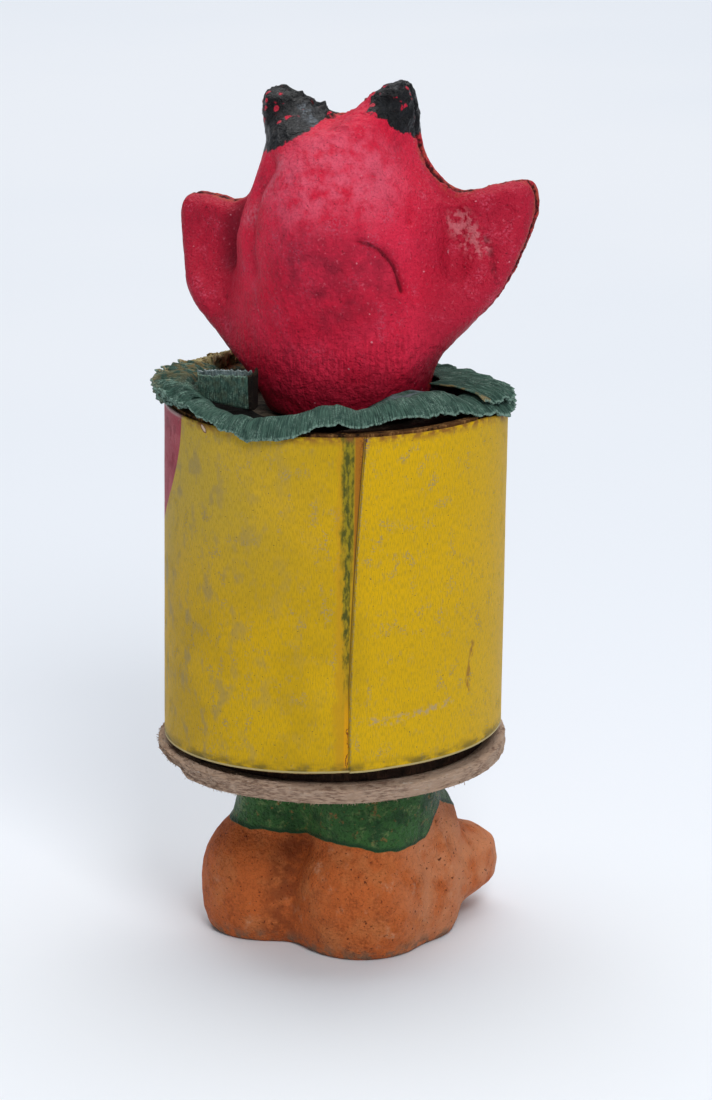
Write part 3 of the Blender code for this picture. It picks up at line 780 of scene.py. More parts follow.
disc_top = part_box("feet")[1].z + GAP + 2.1 * MM
tube_base = disc_top + GAP + WRAP_RADIUS * math.tan(FOOT_CUT_ANGLE)
lean_way = Vector((math.cos(HEAD_LEAN_SIDE), math.sin(HEAD_LEAN_SIDE), 0))
tube_axes = (
    Matrix.Translation((0, 0, tube_base))
    @ Matrix.Rotation(TUBE_LEAN, 4, Vector((0, 0, 1)).cross(lean_way))
    @ Matrix.Rotation(TUBE_TURN, 4, "Z")
)
tube_top = tube_axes @ Vector((0, 0, TUBE_LENGTH))

# %% Paper as a node tree


def new_tree(name, sizes, takes_mesh=True):
    """A Geometry Nodes tree with named inputs, and the sockets of its input node."""
    tree = bpy.data.node_groups.new(name, "GeometryNodeTree")
    if takes_mesh:
        tree.interface.new_socket("Geometry", in_out="INPUT", socket_type="NodeSocketGeometry")
    for label in sizes:
        tree.interface.new_socket(label, in_out="INPUT", socket_type="NodeSocketFloat")
    tree.interface.new_socket("Geometry", in_out="OUTPUT", socket_type="NodeSocketGeometry")
    now.tree = tree
    entry = tree.nodes.new("NodeGroupInput")
    return tree, {socket.name: Value(socket) for socket in entry.outputs if socket.name}


def grow(name, tree, sizes, mesh=None):
    """Runs a tree on a piece with its inputs set, and keeps the result as a plain mesh."""
    piece = add_piece(name, mesh or bpy.data.meshes.new(name))
    modifier = piece.modifiers.new(name, "NODES")
    modifier.node_group = tree
    for item in tree.interface.items_tree:
        if item.in_out == "INPUT" and item.name in sizes:
            modifier[item.identifier] = sizes[item.name]
    made = bake_modifiers(piece)
    print(f"{name}: {len(made.vertices)} points")
    return piece


def close_tree(geometry, material):
    """Every tree ends the same way: real geometry, with its material."""
    real = node("GeometryNodeRealizeInstances", {0: geometry})
    dressed = node("GeometryNodeSetMaterial", {0: real, "Material": material})
    node("NodeGroupOutput", {0: dressed})


def rolled_paper(material):
    sizes = {
        "Inner Radius": TUBE_RADIUS + GAP, "Thickness": PAPER_THICKNESS, "Length": TUBE_LENGTH,
        "Overlap": OVERLAP_WIDTH / WRAP_RADIUS, "Lift": PAPER_THICKNESS + GAP / 2,
        "Foot Slope": math.tan(FOOT_CUT_ANGLE), "Foot Side": FOOT_CUT_SIDE - TUBE_TURN,
        "Lean": math.tan(TUBE_LEAN), "Lean Side": HEAD_LEAN_SIDE - TUBE_TURN, "Dip": RIM_DIP,
        "Margin": PAPER_MARGIN, "Tear": 0.35 * MM / WRAP_RADIUS, "Slant": SEAM_SLANT / WRAP_RADIUS,
        "Cockle": 0.12 * MM,
    }
    tree, size = new_tree("rolled_paper", sizes, takes_mesh=False)
    slab = node(
        "GeometryNodeMeshCube", {"Size": (1, 1, 1), "Vertices X": 371, "Vertices Y": 2, "Vertices Z": 121},
    )
    position = node("GeometryNodeInputPosition")
    axes = node("ShaderNodeSeparateXYZ", {0: position})
    along = axes.out(0) + 0.5
    across = axes.out(1) + 0.5
    upward = axes.out(2) + 0.5
    whole = size["Overlap"] + math.tau
    last = node("ShaderNodeMapRange", {"Value": along, "From Min": 0.985, "From Max": 1.0})
    slanting = node("ShaderNodeMapRange", {"Value": upward, "From Min": SLANT_START, "From Max": 1.0})
    ragged = node(
        "ShaderNodeTexNoise", {"W": upward * 26.0, "Scale": 1.0, "Detail": 4.0}, noise_dimensions="1D",
    )
    nibble = ragged * size["Tear"] * last
    slant = slanting ** SLANT_POWER * last * size["Slant"]
    turned = along * whole - nibble - slant
    start = size["Overlap"] * 0.5 + math.pi / 2
    angle = start - turned
    ride_end = whole - size["Overlap"]
    ride_start = ride_end - size["Overlap"] * 3.0
    ride = ramp(turned, ride_start, ride_end)
    lifted = size["Inner Radius"] + ride * size["Lift"]
    sheet = node("ShaderNodeCombineXYZ", {0: turned * 0.5, 1: upward, 2: 0.0})
    cockle = node("ShaderNodeTexNoise", {"Vector": sheet, "Scale": 4.0, "Detail": 2.0})
    cockled = (cockle - 0.5) * size["Cockle"]
    radius = lifted + across * size["Thickness"] + cockled
    foot = radius * size["Foot Slope"] * work("COSINE", angle - size["Foot Side"]) + size["Margin"]
    level = (
        radius * size["Lean"] * work("COSINE", angle - size["Lean Side"])
        + (size["Length"] - size["Margin"])
    )
    from_back = work("WRAP", angle + (TUBE_TURN - BACK_SIDE), math.pi, -math.pi)
    into_dip = ramp(from_back, DIP_FROM - DIP_FADE, DIP_FROM + DIP_FADE)
    out_of_dip = ramp(from_back, DIP_TO + DIP_FADE, DIP_TO - DIP_FADE)
    rim = level - size["Dip"] * (into_dip * out_of_dip)
    height = foot + upward * (rim - foot)
    place = node(
        "ShaderNodeCombineXYZ",
        {0: radius * work("COSINE", angle), 1: radius * work("SINE", angle), 2: height},
    )
    marked = slab
    for label, value in (("along", turned * WRAP_RADIUS), ("rim_gap", rim - height)):
        marked = node(
            "GeometryNodeStoreNamedAttribute", {"Geometry": marked, "Name": label, "Value": value},
            domain="POINT",
        )
    rolled = node("GeometryNodeSetPosition", {"Geometry": marked, "Position": place})
    close_tree(rolled, material)
    paper = grow("yellow_wrap", tree, sizes)
    paper.data.transform(tube_axes)
    paper.data.shade_smooth()
    return paper


# %% [markdown]
# ### Glazed yellow paper
#
# The paper is machine-glazed and faintly lined along the tube. Long handling has rubbed it
# grey-brown in mottled patches. Beside the seam the hide glue has bled through: an orange band with
# dark green mould in it. The front of the tube is printed with a red bib, whose tip shows at the left.

# %% Paper finish
BIB_MIDDLE = math.radians(-82.5)
BIB_HALF_TURN = math.radians(103)
BIB_DROP = 28.5
SCRATCH_PIXELS = [(472, 643), (470, 662), (467, 678), (468, 690)]
RUB_PIXELS = [(372, 722), (393, 721), (404, 716), (424, 711), (436, 706), (452, 700)]
NICK_PIXELS = [(202, 426), (205, 431)]


def yellow_paper():
    material = new_finish("machine_glazed_yellow_paper", 0.5, shine=0.12)
    rim_gap = mark("rim_gap")
    seam_gap = mark("seam_gap")
    foot_gap = mark("foot_gap")
    from_back = mark("from_back")
    nick_gap = mark("nick")
    now.place = node("ShaderNodeCombineXYZ", {0: mark("along"), 1: rim_gap, 2: 0.0})
    fibres = cloud(0.15, 0.42, 0.66, stretch=(1, 6, 1), detail=4)
    fine = cloud(0.32, 0.44, 0.6, detail=4)
    wide = cloud(13, 0.38, 0.62, detail=3)
    worn_area = cloud(9, 0.42, 0.6, detail=3, shift=8)
    smear = cloud(1.6, 0.52, 0.62, stretch=(1, 1.6, 1), detail=8, shift=2)
    left_side = ramp(from_back, 10, -60)
    right_side = ramp(from_back, 8, 14)
    lower = ramp(rim_gap, 18 * MM, 42 * MM)
    yellow = paint(
        "#CBA20C",
        ("#D9AB06", wide),
        ("#C6AA44", left_side * ramp(rim_gap, 34 * MM, 8 * MM) * 0.75),
        # The right side is painted brighter yellow, as light.
        ("#DEB004", right_side * 0.7),
        ("#DCB00A", lower * wide * 0.8),
        ("#9C8220", fibres * 0.42),
        ("#A8925E", smear * fine * worn_area * 0.9),
        ("#A08C58", cloud(2.6, 0.5, 0.66, stretch=(1, 1.8, 1), detail=9, shift=16) * left_side * 0.7),
        ("#A08A50", cloud(0.7, 0.56, 0.7, stretch=(1, 2.4, 1), detail=7, shift=6) * 0.36),
        ("#5A5230", cloud(0.4, 0.72, 0.77, detail=1, shift=9) * 0.8),
        ("#6E5F38", cloud(0.18, 0.7, 0.77, stretch=(1, 5, 1), detail=2, shift=11) * 0.7),
    )
    glue = mark("glue")
    wander = glue + cloud(1.2, 0.2, 0.8, stretch=(1, 2, 1), detail=6, shift=21)
    bleed = ramp(wander, -2.0, -0.9) * ramp(seam_gap, 0.1, -0.1)
    upper_half = ramp(rim_gap, 26 * MM, 12 * MM)
    mould_band = ramp(wander, -1.2, -0.4) * ramp(glue, 0.55, 0.2) * ramp(seam_gap, 0.05, -0.05)
    narrow_band = ramp(wander, -0.6, -0.1) * ramp(glue, 0.1, -0.15)
    mould_where = work("MAXIMUM", mould_band * upper_half, narrow_band)
    tufts = cloud(0.7, 0.4, 0.6, stretch=(0.8, 2.2, 1), detail=9, shift=5)
    mould = mould_where * tufts * ramp(rim_gap, 42 * MM, 30 * MM)
    glue_strip = ramp(glue, 0.3, 0.6) * ramp(seam_gap, 0.06, -0.06)
    groove = ramp(seam_gap, -0.22, -0.1) * ramp(seam_gap, 0.08, 0.0)
    ridge_line = ramp(seam_gap, 0.05, 0.12) * ramp(seam_gap, 0.45, 0.25)
    dirty_top = ramp(rim_gap, 1.5 * MM, 0.1 * MM) * cloud(1.4, 0.36, 0.6, detail=6)
    pale_rim = ramp(rim_gap, 0.7 * MM, 0.3 * MM) * ramp(from_back, -58, -66)
    splashes = cloud(1.6, 0.36, 0.6, stretch=(2.2, 1, 1), detail=9, shift=3)
    dirty_foot = ramp(foot_gap, 2.0 * MM, 0.4 * MM) * splashes
    thin_line = ramp(wander, 0.28, 0.36) * ramp(wander, 0.46, 0.38)
    beside_seam = ramp(seam_gap, -0.1, 0.05) * ramp(seam_gap, 0.9, 0.3)
    scratch = ramp(mark("scratch"), 0.75, 0.15)
    stained = paint(
        yellow,
        ("#C8961A", bleed * 0.8),
        ("#8C8620", mould_where * ramp(rim_gap, 46 * MM, 20 * MM) * 0.8),
        ("#38431D", mould * 0.85),
        ("#A4661C", glue_strip * 0.9),
        ("#7A4418", glue_strip * ramp(glue, 0.8, 1.6) * fine),
        # Shade along the overlap's edge is painted as a dark line.
        ("#56481E", groove * 0.75),
        # A highlight is painted along the overlap's edge.
        ("#A69468", ridge_line * fine * 0.8),
        ("#E0A010", ramp(glue, -0.8, -0.5) * ramp(glue, 0.0, -0.1) * ramp(rim_gap, 36 * MM, 42 * MM)),
        ("#7A3A1C", thin_line * ramp(rim_gap, 42 * MM, 43 * MM) * ramp(glue, 0.1, 0.0)),
        ("#8A6E6C", beside_seam * ramp(rim_gap, 3 * MM, 0.8 * MM) * fine),
        # The top rim is darker: dirt, and shade painted in with it.
        ("#8A5A2A", dirty_top * 0.9),
        ("#C4A09C", pale_rim),
        ("#4E4A28", dirty_foot * 0.75),
        ("#8C5A2C", scratch * cloud(0.7, 0.4, 0.6, stretch=(1, 2, 1), detail=4) * 0.7),
        ("#B59C70", ramp(mark("rub"), 0.9, 0.2) * cloud(0.9, 0.46, 0.6, detail=6, shift=4) * 0.85),
        ("#7A4A34", ramp(nick_gap, 0.42, 0.32)),
        ("#D8C0A8", ramp(nick_gap, 0.28, 0.18)),
        ("#C9B77F", ramp(foot_gap, 0.32 * MM, 0.22 * MM)),
    )
    share = mark("front_turn") * (1 / BIB_HALF_TURN)
    drop = rim_gap * (1 / (BIB_DROP * MM))
    reach = share * share + drop * drop
    bib = paint(
        "#A63C4A",
        ("#B5525C", cloud(5, 0.45, 0.65, detail=4)),
        ("#8C3540", smear * 0.7),
        ("#C79A9C", cloud(1.2, 0.62, 0.72, detail=5) * fine * 0.7),
        ("#C4A09C", pale_rim),
    )
    wire("Base Color", blend(ramp(reach, 1.004, 0.994), stained, bib))
    worn = node("ShaderNodeMapRange", {"Value": smear * worn_area, "To Min": 0.5, "To Max": 0.75})
    wire("Roughness", worn)
    raise_surface([(fibres, 0.015 * MM), (cloud(0.5, 0.3, 0.7, detail=5), 0.03 * MM), (mould, 0.05 * MM)])
    return material


paper = yellow_paper()
wrap = rolled_paper(paper)
finish(wrap, paper, "wrap")
places = points_of(wrap.data)
local = (np.c_[places, np.ones(len(places))] @ np.array(tube_axes.inverted()).T)[:, :3]
turn = np.arctan2(local[:, 1], local[:, 0])
edge_turn = math.pi / 2 - OVERLAP_WIDTH / WRAP_RADIUS / 2
seam_gap = (turn - edge_turn + math.pi) % math.tau - math.pi
front_turn = np.abs((turn - BIB_MIDDLE + math.pi) % math.tau - math.pi)
foot_edge = (
    WRAP_RADIUS * math.tan(FOOT_CUT_ANGLE) * np.cos(turn - (FOOT_CUT_SIDE - TUBE_TURN)) + PAPER_MARGIN
)
up_share = np.clip((local[:, 2] / TUBE_LENGTH - SLANT_START) / (1 - SLANT_START), 0, 1)
glue = seam_gap * WRAP_RADIUS / MM
store(
    wrap.data,
    glue=glue,
    seam_gap=glue - SEAM_SLANT / MM * up_share**SLANT_POWER,
    front_turn=front_turn,
    foot_gap=local[:, 2] - foot_edge,
    from_back=round_from_back(places),
)
wrap_surface = surface_of(wrap.data)
for label, pixels in (("scratch", SCRATCH_PIXELS), ("rub", RUB_PIXELS), ("nick", NICK_PIXELS)):
    store(wrap.data, **{label: distance_to_path(places, seen_on(wrap_surface, pixels)) / MM})

# %% [markdown]
# ## The crepe ruffle
#
# The ruffle is a strip of crepe paper gathered round the neck. Crepe has fine ridges across the
# strip, which fan out here from the neck to the edge. Its drape is told by stations round the tube:
# where the strip starts, where it crests over the rim, and where its edge hangs. Behind the crest it
# sinks into a trough, then rises and hangs over in two quarter arcs.

# %% Ruffle stations
#    degrees, inner r, z, crest r, z, edge r, z, frill, all round the tube's top, in millimetres
RUFFLE = (
    (-180, 15.5, 81.3, 20.5, 82.1, 25.5, 81.5, 0.20),
    (-150, 15.5, 81.4, 20.2, 82.2, 25.2, 81.6, 0.30),
    (-138, 15.5, 81.4, 20.3, 82.2, 25.2, 81.6, 0.40),
    (-122, 15.5, 81.4, 20.6, 82.3, 25.2, 81.6, 0.60),
    (-105, 15.0, 81.4, 21.0, 82.9, 25.3, 81.7, 0.90),
    (-90, 14.6, 81.4, 21.5, 83.3, 25.9, 81.5, 1.10),
    (-77, 14.2, 81.0, 22.2, 83.5, 26.3, 81.9, 1.10),
    (-62, 14.0, 80.4, 22.7, 83.5, 25.3, 82.5, 0.70),
    (-53, 13.8, 80.0, 23.2, 83.2, 25.7, 82.5, 0.35),
    (-46, 13.8, 79.9, 23.5, 82.9, 25.7, 81.9, 0.25),
    (-38, 13.8, 79.6, 23.9, 82.5, 25.9, 80.7, 0.15),
    (-30, 13.8, 79.6, 23.9, 82.6, 26.0, 80.0, 0.12),
    (-19, 13.8, 79.6, 23.7, 83.3, 26.0, 80.2, 0.10),
    (-11, 13.8, 79.6, 23.2, 84.0, 25.8, 81.6, 0.10),
    (-4, 13.8, 79.6, 22.2, 84.8, 25.3, 82.7, 0.10),
    (1, 13.8, 79.8, 22.0, 84.8, 25.0, 82.8, 0.10),
    (8, 13.8, 80.6, 22.3, 83.9, 24.9, 82.0, 0.08),
    (12, 13.8, 81.2, 22.0, 84.1, 24.5, 82.4, 0.10),
    (20, 13.9, 82.4, 21.4, 84.8, 24.1, 83.0, 0.20),
    (34, 14.4, 83.9, 20.9, 85.0, 24.0, 82.8, 0.25),
    (44, 15.0, 84.3, 20.5, 84.9, 23.9, 82.4, 0.25),
    (50, 15.3, 83.9, 20.6, 84.5, 24.2, 82.2, 0.25),
    (58, 15.4, 82.4, 21.0, 83.5, 25.0, 81.4, 0.30),
    (65, 15.4, 81.9, 21.5, 83.3, 25.4, 81.0, 0.35),
    (71, 15.2, 81.4, 22.1, 83.0, 26.0, 79.5, 0.35),
    (80, 15.0, 80.8, 22.4, 82.3, 26.1, 80.2, 0.40),
    (95, 15.2, 80.4, 22.2, 81.2, 25.7, 79.9, 0.40),
    (120, 15.4, 80.2, 22.0, 80.7, 25.4, 79.9, 0.30),
    (145, 15.5, 80.4, 21.6, 80.9, 25.4, 80.2, 0.25),
)
DRAPE_STRAIGHTNESS = 0.5
RUMPLE_SIZE = 1.5
TROUGH_SETBACK = 2.3
TROUGH_SHARE = 0.34
CREST_SHARE = 0.66
RIDGE_SPACING = 0.36 * MM
CREPE_THICKNESS = 0.26 * MM
AROUND = 1700
ACROSS = 21


def stations_at(turns, table):
    """The stations' numbers at each angle, smoothly blended, as columns to spread over shares."""
    columns = np.array(table, float).T
    kernel = np.hanning(17) / np.hanning(17).sum()
    blended = []
    for column in columns[1:]:
        plain = np.interp(turns, columns[0], column, period=360)
        blended.append(np.convolve(np.pad(plain, 8, "edge"), kernel, "valid")[:, None])
    return blended


def strip_section(inner_r, inner_z, crest_r, crest_z, edge_r, edge_z, shares):
    """The strip's run across: level to the trough, up to the crest, and over the rim."""
    trough_r = crest_r - TROUGH_SETBACK
    trough_z = inner_z + 0.15 * (crest_z - inner_z)
    level = np.clip(shares / TROUGH_SHARE, 0, 1)[None]
    climb = np.clip((shares - TROUGH_SHARE) / (CREST_SHARE - TROUGH_SHARE), 0, 1)[None] * math.pi / 2
    drop = np.clip((shares - CREST_SHARE) / (1 - CREST_SHARE), 0, 1)[None] * math.pi / 2
    radius = inner_r + (trough_r - inner_r) * level
    straight = DRAPE_STRAIGHTNESS * drop / (math.pi / 2)
    swing = (1 - DRAPE_STRAIGHTNESS) * np.sin(drop) + straight
    fall = (1 - DRAPE_STRAIGHTNESS) * (1 - np.cos(drop)) + straight
    radius = radius + (crest_r - trough_r) * (1 - np.cos(climb)) + (edge_r - crest_r) * swing
    height = inner_z + (trough_z - inner_z) * level
    height = height + (crest_z - trough_z) * np.sin(climb) + (edge_z - crest_z) * fall
    return radius, height


def crepe_grid(name, turns, shares, radius, height, closed, khaki=None):
    """A grid of faces from polar places about the tube's top, with its own flat coordinates."""
    angle = BACK_SIDE + np.radians(turns)[:, None]
    x = tube_top.x + radius * MM * np.cos(angle)
    y = tube_top.y + radius * MM * np.sin(angle)
    places = np.stack([x, y, height * MM], axis=2).reshape(-1, 3)
    rows, columns = radius.shape
    faces = []
    for i in range(rows if closed else rows - 1):
        j = (i + 1) % rows
        for k in range(columns - 1):
            faces.append((i * columns + k, j * columns + k, j * columns + k + 1, i * columns + k + 1))
    mesh = bpy.data.meshes.new(name)
    mesh.from_pydata(places.tolist(), [], faces)
    along = np.cumsum(
        np.linalg.norm(np.diff(places.reshape(rows, columns, 3)[:, -1], axis=0, prepend=0), axis=1)
    )
    spread = np.ones((rows, columns))
    aged = np.zeros(rows) if khaki is None else khaki
    store(
        mesh,
        strip_share=(shares[None] * spread).ravel(),
        strip_along=(along[:, None] * spread).ravel(),
        khaki=(aged[:, None] * spread).ravel(),
        turn=(turns[:, None] * spread).ravel(),
    )
    return add_piece(name, mesh)


def thicken(piece, thickness=CREPE_THICKNESS):
    wall = piece.modifiers.new("wall", "SOLIDIFY")
    wall.thickness = thickness
    wall.offset = 0
    bake_modifiers(piece).shade_smooth()


def soft_noise(rng, count, width):
    """Random numbers smoothed over so many neighbours, spread about 1."""
    kernel = np.hanning(width + 2)
    values = np.convolve(np.pad(rng.normal(0, 1, count), width, "wrap"), kernel, "same")[width:-width]
    return values / values.std()


def crepe_ridges(length, shares, rng):
    """The ridges' height, -1 to 1, at points so far along the strip. They wander and fade."""
    count = len(length)
    drift = 1.5 * soft_noise(rng, count, 21)
    wave = np.sin(length * math.tau / (RIDGE_SPACING / MM) + drift)[:, None]
    strength = np.clip(0.75 + 0.35 * soft_noise(rng, count, 15), 0.2, 1.3)[:, None]
    return wave * strength * (0.55 + 0.45 * shares[None])


def lay_strip(name, table, start, end, count, seed, folds, khaki=None, closed=False):
    """A stretch of the strip lying round the rim, with ridges, frills and a frayed edge."""
    rng = np.random.default_rng(seed)
    turns = np.linspace(start, end, count, endpoint=not closed)
    shares = np.linspace(0, 1, ACROSS)
    inner_r, inner_z, crest_r, crest_z, edge_r, edge_z, frill = stations_at(turns, table)
    radius, height = strip_section(inner_r, inner_z, crest_r, crest_z, edge_r, edge_z, shares)
    length = np.radians(turns) * 24
    out = shares[None] ** 2
    ridges = crepe_ridges(length, shares, rng)
    ragged = soft_noise(rng, count, 3)[:, None]
    crumple = soft_noise(rng, count, 41)[:, None]
    wave = np.sin(np.radians(turns) * folds + 1.8 * crumple[:, 0])[:, None]
    wave = wave + 0.55 * np.sin(np.radians(turns) * folds * 1.83 + 1.1 * crumple[:, 0])[:, None]
    spots = [[Vector((run, 7 * share, seed)) / RUMPLE_SIZE for share in shares] for run in length]
    rumple = np.array([[noise.fractal(spot, 1.0, 2.0, 3) for spot in row] for row in spots])
    height = height + 0.045 * ridges + 0.5 * frill * wave * out + 0.13 * crumple * shares[None]
    height = height + (0.1 + 0.55 * frill) * rumple * shares[None] ** 0.5
    radius = radius + 0.04 * ridges * out + 0.35 * frill * wave * shares[None] ** 5
    radius = radius + 0.12 * ragged * shares[None] ** 8 + (0.05 + 0.4 * frill) * rumple * shares[None]
    aged = None if khaki is None else khaki(turns)
    piece = crepe_grid(name, turns, shares, radius, height, closed, aged)
    thicken(piece)
    return piece


def far_left_age(turns):
    return smooth_step(-turns, 66, 100) * smooth_step(turns, -172, -160)


ruffle = lay_strip("crepe_ruffle", RUFFLE, -180, 180, AROUND, 5, 47, khaki=far_left_age, closed=True)
print(f"ruffle: {len(ruffle.data.polygons)} faces")

# %% [markdown]
# The strip's loose end is folded up into a box on the left. It stands on edge: it runs along the
# front, turns back at the left and returns behind, and its right end is open and dark inside. More
# layers lie over the far right and in a heap at the left tip.

# %% Folded and lying layers
FOLD_FRONT = ((-44.0, 17.9), (-50.0, 18.4), (-56.0, 19.3), (-62.0, 20.6), (-67.0, 21.3), (-71.0, 20.8))
FOLD_BACK = ((-71.0, 20.8), (-67.0, 20.0), (-61.0, 18.4), (-55.0, 16.6), (-50.0, 15.6))
FOLD_END = ((-46.5, 18.1), (-45.0, 17.6), (-44.0, 16.9), (-45.5, 15.9), (-49.0, 15.0))
FRONT_FOOT = (82.1, 82.1, 82.3, 82.6, 82.8, 82.8)
FRONT_HEAD = (86.7, 86.7, 86.5, 86.2, 86.0, 86.2)
BACK_FOOT = (84.0, 84.0, 84.2, 84.2, 84.2)
BACK_HEAD = (86.2, 86.5, 86.9, 86.9, 87.0)
END_FOOT = (82.0, 81.8, 81.8, 82.0, 82.4)
END_HEAD = (86.6, 86.8, 87.0, 87.2, 87.4)
UPPER_LAYER = (
    (61, 15.3, 84.5, 20.4, 84.5, 24.4, 82.9, 0.30),
    (68, 15.3, 84.3, 21.4, 84.1, 25.3, 82.4, 0.55),
    (76, 15.2, 84.0, 21.6, 83.6, 25.9, 81.7, 0.65),
    (88, 15.0, 83.4, 21.2, 82.8, 25.8, 81.0, 0.55),
    (112, 14.8, 82.7, 20.8, 82.0, 25.4, 80.5, 0.45),
    (140, 15.0, 82.1, 20.6, 81.7, 25.1, 80.5, 0.35),
    (158, 15.2, 81.8, 20.6, 81.6, 24.9, 80.5, 0.30),
)
TIP_LAYER = (
    (-112, 18.4, 82.6, 21.0, 83.6, 24.0, 82.6, 1.2),
    (-96, 18.8, 83.0, 21.8, 84.5, 24.8, 83.4, 1.5),
    (-84, 19.6, 83.2, 22.8, 84.7, 26.0, 83.0, 1.8),
    (-76, 20.4, 83.2, 23.6, 84.3, 26.3, 82.5, 1.8),
    (-66, 21.4, 82.9, 24.0, 84.0, 25.8, 82.8, 1.4),
    (-57, 22.0, 82.6, 24.0, 83.6, 25.6, 82.7, 1.0),
)


def stand_strip(name, route, foot, head, rows, seed):
    """A stretch of crepe standing on edge along a route of angle and radius."""
    rng = np.random.default_rng(seed)
    steps = np.linspace(0, 1, rows)
    knots = np.linspace(0, 1, len(route))
    kernel = np.hanning(rows // 12) / np.hanning(rows // 12).sum()
    pad = len(kernel) // 2
    columns = list(zip(*route)) + [foot, head]
    turn, out, low, high = (
        np.convolve(np.pad(np.interp(steps, knots, column), pad, "edge"), kernel, "valid")[:rows]
        for column in columns
    )
    steps = steps[:len(turn)]
    shares = np.linspace(0, 1, 15)
    length = np.cumsum(np.hypot(np.gradient(out), np.gradient(np.radians(turn)) * 21))
    ridges = np.sin(length * math.tau / 0.34 + 0.8 * soft_noise(rng, len(turn), 11))[:, None]
    pleat = soft_noise(rng, len(turn), 13)[:, None]
    radius = out[:, None] + 0.06 * ridges + 0.1 * pleat * shares[None]
    height = low[:, None] + (high - low)[:, None] * shares[None]
    height = height + (0.08 * ridges + 0.1 * pleat) * shares[None] ** 4
    piece = crepe_grid(name, turn, shares, radius, height, False, np.full(len(turn), 0.12))
    thicken(piece)
    return piece


def khaki_start(turns):
    """The upper layer's cut end, which faded."""
    return 1 - smooth_step(turns, 61.5, 65)


box_front = stand_strip("crepe_fold_front", FOLD_FRONT, FRONT_FOOT, FRONT_HEAD, rows=480, seed=31)
box_back = stand_strip("crepe_fold_back", FOLD_BACK, BACK_FOOT, BACK_HEAD, rows=360, seed=33)
box_end = stand_strip("crepe_fold_end", FOLD_END, END_FOOT, END_HEAD, rows=300, seed=35)
upper = lay_strip("crepe_upper_layer", UPPER_LAYER, 61, 158, 640, seed=41, folds=61, khaki=khaki_start)
tip = lay_strip("crepe_tip_layer", TIP_LAYER, -112, -57, 520, seed=47, folds=105, khaki=far_left_age)

# %% [markdown]
# ### The crimped, faded edge
#
# Behind the box fold the strip's machine-crimped edge stands on view, bleached from green to khaki.
# A crimp repeats at an even pitch along a path, so Geometry Nodes make it: a line is resampled, its
# points are pushed in and out by turns, and a thin upright profile is swept along it.

# %% Crimped edge
CRIMP_PITCH = 0.46 * MM
CRIMP_WAVE_UP = 0.45 * MM
CRIMP_WAVE_IN = 0.34 * MM
CRIMP_WIDTH = 1.9 * MM
CRIMP_THICKNESS = 0.2 * MM


def crimped_edge(name, route, material):
    sizes = {
        "Pitch": CRIMP_PITCH, "Wave Up": CRIMP_WAVE_UP, "Wave In": CRIMP_WAVE_IN, "Width": CRIMP_WIDTH,
        "Thickness": CRIMP_THICKNESS,
    }
    tree, size = new_tree(name + "_tree", sizes)
    source = node("GeometryNodeMeshToCurve", {"Mesh": size["Geometry"]})
    even = node(
        "GeometryNodeResampleCurve", {"Curve": source, "Length": size["Pitch"] * 0.09}, mode="LENGTH",
    )
    run = node("GeometryNodeSplineParameter", out=1)
    turns = run / size["Pitch"]
    unsteady = node("ShaderNodeTexNoise", {"W": turns, "Scale": 0.6, "Detail": 3.0}, noise_dimensions="1D")
    phase = (turns + unsteady * 1.6) * math.tau
    swing = work("SINE", phase) * size["Wave In"]
    bob = (unsteady - 0.5) * (size["Wave Up"] * 3.0)
    tangent = node("GeometryNodeInputTangent")
    outward = node("ShaderNodeVectorMath", {0: tangent, 1: (0.0, 0.0, 1.0)}, operation="CROSS_PRODUCT")
    shift_in = node("ShaderNodeVectorMath", {0: outward, "Scale": swing}, operation="SCALE")
    shift_up = node("ShaderNodeCombineXYZ", {0: 0.0, 1: 0.0, 2: bob})
    shift = node("ShaderNodeVectorMath", {0: shift_in, 1: shift_up}, operation="ADD")
    crimped = node("GeometryNodeSetPosition", {"Geometry": even, "Offset": shift})
    upright = node("GeometryNodeSetCurveNormal", {"Curve": crimped}, mode="Z_UP")
    profile = node("GeometryNodeCurvePrimitiveQuadrilateral", {0: size["Thickness"], 1: size["Width"]})
    ribbon = node(
        "GeometryNodeCurveToMesh", {"Curve": upright, "Profile Curve": profile, "Fill Caps": True},
    )
    close_tree(ribbon, material)
    steps = np.linspace(0, len(route) - 1, 60)
    turn, out, up = (np.interp(steps, range(len(route)), column) for column in zip(*route))
    angle = BACK_SIDE + np.radians(turn)
    x = tube_top.x + out * MM * np.cos(angle)
    y = tube_top.y + out * MM * np.sin(angle)
    line = bpy.data.meshes.new(name)
    line.from_pydata(np.stack([x, y, up * MM], axis=1).tolist(), [(i, i + 1) for i in range(59)], [])
    return grow(name, tree, sizes, mesh=line)


# %% [markdown]
# ### Crepe paper
#
# Crepe is matt and thirsty. It is worn paler in blotches, and the dark lines between its ridges are
# painted shade. Where it faded, the green has gone to khaki and the raw edge is straw-coloured. In the
# ruffle's trough a shadow is painted near black, and a grey sheen where the sheet lies flat.

# %% Crepe finish


